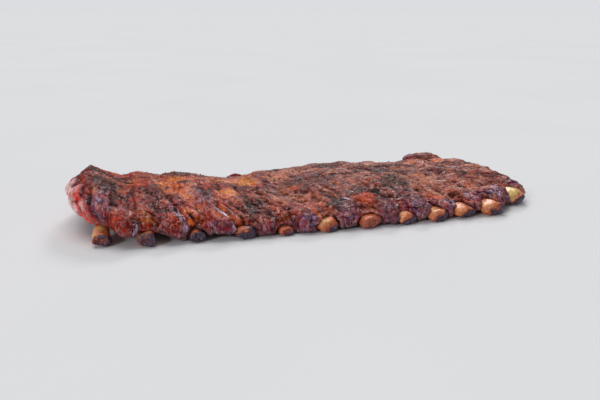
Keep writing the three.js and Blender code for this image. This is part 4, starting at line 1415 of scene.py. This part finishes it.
class RIBRACK_OT_add_rub(bpy.types.Operator):
    """Adds the grains of rub and the small beads of fat that lie on the crust"""

    bl_idname = "ribrack.add_rub"
    bl_label = "Add Rub"

    def execute(self, context):
        rub = context.scene.ribrack_rub
        draw = np.random.default_rng(rub.seed)
        meat = bpy.data.objects["meat_crust"].data
        size, bead = rub.grain_size / MM, rub.bead_size / MM
        pepper = scatter("pepper_grains", meat, draw, rub.pepper_count, size, 0.6, self.crusty, 0.35)
        dress(pepper, grain_finish("pepper", rub.pepper, 0.45, 0.3), "crust")
        flakes = scatter("pale_flakes", meat, draw, rub.flake_count, 0.9 * size, 0.4, self.crusty, 0.25)
        dress(flakes, grain_finish("pale_rub", rub.flake, 0.4, 0.3), "crust")
        chilli = scatter("chilli_grains", meat, draw, rub.chilli_count, size, 0.5, self.crusty, 0.35)
        dress(chilli, grain_finish("chilli", rub.chilli, 0.4, 0.4), "crust")
        beads = scatter("fat_beads", meat, draw, rub.bead_count, bead, 0.55, self.oily, 0.3, 0.12)
        dress(beads, grain_finish("fat_bead", rub.bead, 0.15, 1.0, 0.3), "crust")
        return {"FINISHED"}

    def crusty(self, points, normals):
        """Grains lie on the crust, thickest on top, and hardly on the sliced end or in the channels."""
        clumps = 0.35 + rise(noise_at(points, 11, 301), -0.35, 0.8)
        top = 0.25 + rise(normals[:, 2], -0.1, 0.5)
        below = 1 - rise(-normals[:, 2], 0.3, 0.4)
        outside = rise(rib_offset(points), 0.8, 1.0)
        outside = outside * (1 - 0.85 * nearness(points, FAT_PATCHES))
        outside = outside * (1 - run_nearness(points, BARE_RUNS))
        return clumps * top * below * outside * (1 - 0.9 * cut_share(points)) + 1e-9

    def oily(self, points, normals):
        patches = 0.2 + rise(noise_at(points, 9, 321), -0.1, 0.5)
        upward = rise(normals[:, 2], -0.3, 0.5)
        return patches * upward * rise(rib_offset(points), 0.8, 1.0) + 1e-9


class RIBRACK_OT_add_skin(bpy.types.Operator):
    """Adds the bundles of silver skin strands that cling to the front"""

    bl_idname = "ribrack.add_skin"
    bl_label = "Add Silver Skin"

    # Bundles of strands: start, end, width and thickness of a strand, and how far apart they start.
    STRIPS = [
        ((-119, -50, 21), (-111, -78, 5), 1.5, 0.9, 1.7),
        ((-151, -62, 17), (-146, -78, 5), 1.5, 1.0, 1.6),
        ((-86, -52, 19), (-77, -74, 8), 1.3, 0.8, 1.3),
        ((15, -50, 20), (22, -60, 18), 1.4, 0.8, 1.5),
    ]
    STRANDS = 3
    CLOSING = 0.6           # how far apart the strands end, against their start
    LEAST_STEP = 0.4        # between points of a strand, so that it ends where the crust does
    CALMING = 3             # rounds of smoothing along a strand
    LIFT = 0.15             # of a strand's middle over the crust

    def execute(self, context):
        tree = BVHTree.FromObject(bpy.data.objects["meat_crust"], context.evaluated_depsgraph_get())
        points, faces = [], []
        for start, end, width, thickness, apart in self.STRIPS:
            for strand in range(self.STRANDS):
                aside = np.array([apart * (strand - 1), 0, 0])
                skin, sides = self.strip(tree, np.array(start) + aside,
                                         np.array(end) + self.CLOSING * aside, width, thickness)
                faces += [[corner + len(points) for corner in side] for side in sides]
                points += skin.tolist()
        skin = make_object("silver_skin", points, faces)
        crust = context.scene.ribrack_crust
        f = Finish("silver_skin")
        mottle = f.noise(2.4, 3)
        # Mottled with the violet of the painted sheen.
        base = f.blend(f.level(mottle, 0.42, 0.62), crust.pale, crust.violet_sheen)
        relief = f.bump(f.noise(0.9, 2), 0.0004, 0.6)
        f.set(Base_Color=base, Roughness=f.level(mottle, 0.3, 0.7, (0.26, 0.44)), Coat_Weight=0.5,
              Coat_Roughness=0.15, Normal=relief, Subsurface_Weight=0.2, Subsurface_Scale=0.002)
        dress(skin, f.material, "crust")
        return {"FINISHED"}

    def strip(self, tree, start, end, width, thickness):
        line = start + (end - start) * np.linspace(0, 1, STRAND_RINGS)[:, None]
        line += 1.2 * np.stack([noise_at(line, 7, 401 + k) for k in range(3)], 1)
        laid, up = [], []
        for point in line:
            found, normal, _, _ = tree.find_nearest(Vector(point * MM))
            found = np.array(found) / MM
            if not laid or np.linalg.norm(found - laid[-1]) > self.LEAST_STEP:
                laid.append(found)
                up.append(np.array(normal))
        laid, up = np.array(laid), np.array(up)
        for _ in range(self.CALMING):
            laid[1:-1] = (laid[:-2] + 2 * laid[1:-1] + laid[2:]) / 4
            up[1:-1] = (up[:-2] + 2 * up[1:-1] + up[2:]) / 4
        across = np.cross(np.gradient(laid, axis=0), up)
        across, up = (side / np.linalg.norm(side, axis=1, keepdims=True) for side in (across, up))
        turn = full_turn(STRAND_TURNS)[None, :, None]
        taper = np.sin(math.pi * (0.04 + 0.92 * np.linspace(0, 1, len(laid)))) ** 0.5
        half_width = (width / 2 * taper * (1 + 0.35 * noise_at(laid, 3.5, 431)))[:, None, None]
        half_height = (thickness / 2 * taper)[:, None, None]
        rings = ((laid + self.LIFT * up)[:, None] + across[:, None] * np.cos(turn) * half_width
                 + up[:, None] * np.sin(turn) * half_height)
        rings[..., 2] = np.maximum(rings[..., 2], MEAT_FLOOR)
        return outward_tube(rings)


class RIBRACK_OT_add_stage(bpy.types.Operator):
    """Adds the floor, the lights and the camera"""

    bl_idname = "ribrack.add_stage"
    bl_label = "Add Stage"

    SIDES = 96              # of the floor, which is nearly round

    def execute(self, context):
        stage = context.scene.ribrack_stage
        self.floor(stage)
        world = bpy.data.worlds.new("studio")
        world.use_nodes = True
        nodes, links = world.node_tree.nodes, world.node_tree.links
        sky, seen = nodes["Background"], nodes.new("ShaderNodeBackground")
        sky.inputs["Color"].default_value = (0.96, 0.98, 1.0, 1)
        sky.inputs["Strength"].default_value = stage.sky
        seen.inputs["Color"].default_value = (*stage.backdrop, 1)
        choice, ray = nodes.new("ShaderNodeMixShader"), nodes.new("ShaderNodeLightPath")
        links.new(ray.outputs["Is Camera Ray"], choice.inputs[0])
        links.new(sky.outputs[0], choice.inputs[1])
        links.new(seen.outputs[0], choice.inputs[2])
        links.new(choice.outputs[0], nodes["World Output"].inputs["Surface"])
        context.scene.world = world
        context.scene.view_settings.view_transform = "Standard"
        self.lamp("overhead_light", (-0.2, 0.6, 1.6), (1.0, 0.99, 0.98), stage.overhead, 50)
        self.lamp("back_light", (0.4, 0.95, 0.7), (0.95, 0.96, 1.0), stage.back, 16)
        self.lamp("side_light", (-0.95, -0.75, 0.55), (0.9, 0.93, 1.0), stage.side, 13)
        data = bpy.data.cameras.new("camera")
        data.lens, data.sensor_width = stage.lens, 36.0
        data.clip_start, data.clip_end = 0.01, 200.0
        camera = bpy.data.objects.new("camera", data)
        camera.location = stage.camera_place
        camera.rotation_euler = Euler((math.pi / 2 - stage.camera_down, 0, -stage.camera_right))
        context.scene.collection.objects.link(camera)
        context.scene.camera = camera
        return {"FINISHED"}

    def floor(self, stage):
        turn = full_turn(self.SIDES)
        rim = np.stack([np.cos(turn), np.sin(turn), 0 * turn], 1) * stage.floor_radius / MM
        floor = make_object("floor", rim, [list(range(len(turn)))], shade_smooth=False)
        f = Finish("pale_floor")
        tint = f.level(f.noise(400, 2), 0.3, 0.7)
        f.set(Base_Color=f.blend(tint, stage.floor, [0.98 * v for v in stage.floor]), Roughness=1.0,
              Specular_IOR_Level=0.0)
        floor.data.materials.append(f.material)

    def lamp(self, name, place, shade, strength, width):
        """A broad light from a direction, with its apparent width in degrees."""
        data = bpy.data.lights.new(name, "SUN")
        data.color, data.energy, data.angle = shade, strength, math.radians(width)
        lamp = bpy.data.objects.new(name, data)
        lamp.location = place
        lamp.rotation_euler = (-Vector(place)).to_track_quat("-Z", "Y").to_euler()
        bpy.context.scene.collection.objects.link(lamp)


class RIBRACK_PT_tools(bpy.types.Panel):
    """Lists the steps that build the rack of ribs"""

    bl_label = "Rack of Ribs"
    bl_idname = "RIBRACK_PT_tools"
    bl_space_type = "VIEW_3D"
    bl_region_type = "UI"
    bl_category = "Rack of Ribs"

    def draw(self, context):
        for operator, settings in STEPS:
            box = self.layout.box()
            box.operator(operator.bl_idname)
            group = getattr(context.scene, settings)
            for name in type(group).__annotations__:
                box.prop(group, name)


GROUPS = {"ribrack_crust": RibRackCrust, "ribrack_bones": RibRackBones,
          "ribrack_rub": RibRackRub, "ribrack_stage": RibRackStage}
STEPS = [(RIBRACK_OT_add_meat, "ribrack_crust"), (RIBRACK_OT_add_bones, "ribrack_bones"),
         (RIBRACK_OT_add_rub, "ribrack_rub"), (RIBRACK_OT_add_skin, "ribrack_crust"),
         (RIBRACK_OT_add_stage, "ribrack_stage")]


def register():
    for name, group in GROUPS.items():
        bpy.utils.register_class(group)
        setattr(bpy.types.Scene, name, PointerProperty(type=group))
    for operator, _ in STEPS:
        bpy.utils.register_class(operator)
    bpy.utils.register_class(RIBRACK_PT_tools)


def unregister():
    bpy.utils.unregister_class(RIBRACK_PT_tools)
    for operator, _ in reversed(STEPS):
        bpy.utils.unregister_class(operator)
    for name, group in reversed(GROUPS.items()):
        delattr(bpy.types.Scene, name)
        bpy.utils.unregister_class(group)


def main():
    register()
    bpy.ops.ribrack.add_meat()
    bpy.ops.ribrack.add_bones()
    bpy.ops.ribrack.add_rub()
    bpy.ops.ribrack.add_skin()
    bpy.ops.ribrack.add_stage()


if __name__ == "__main__":
    main()
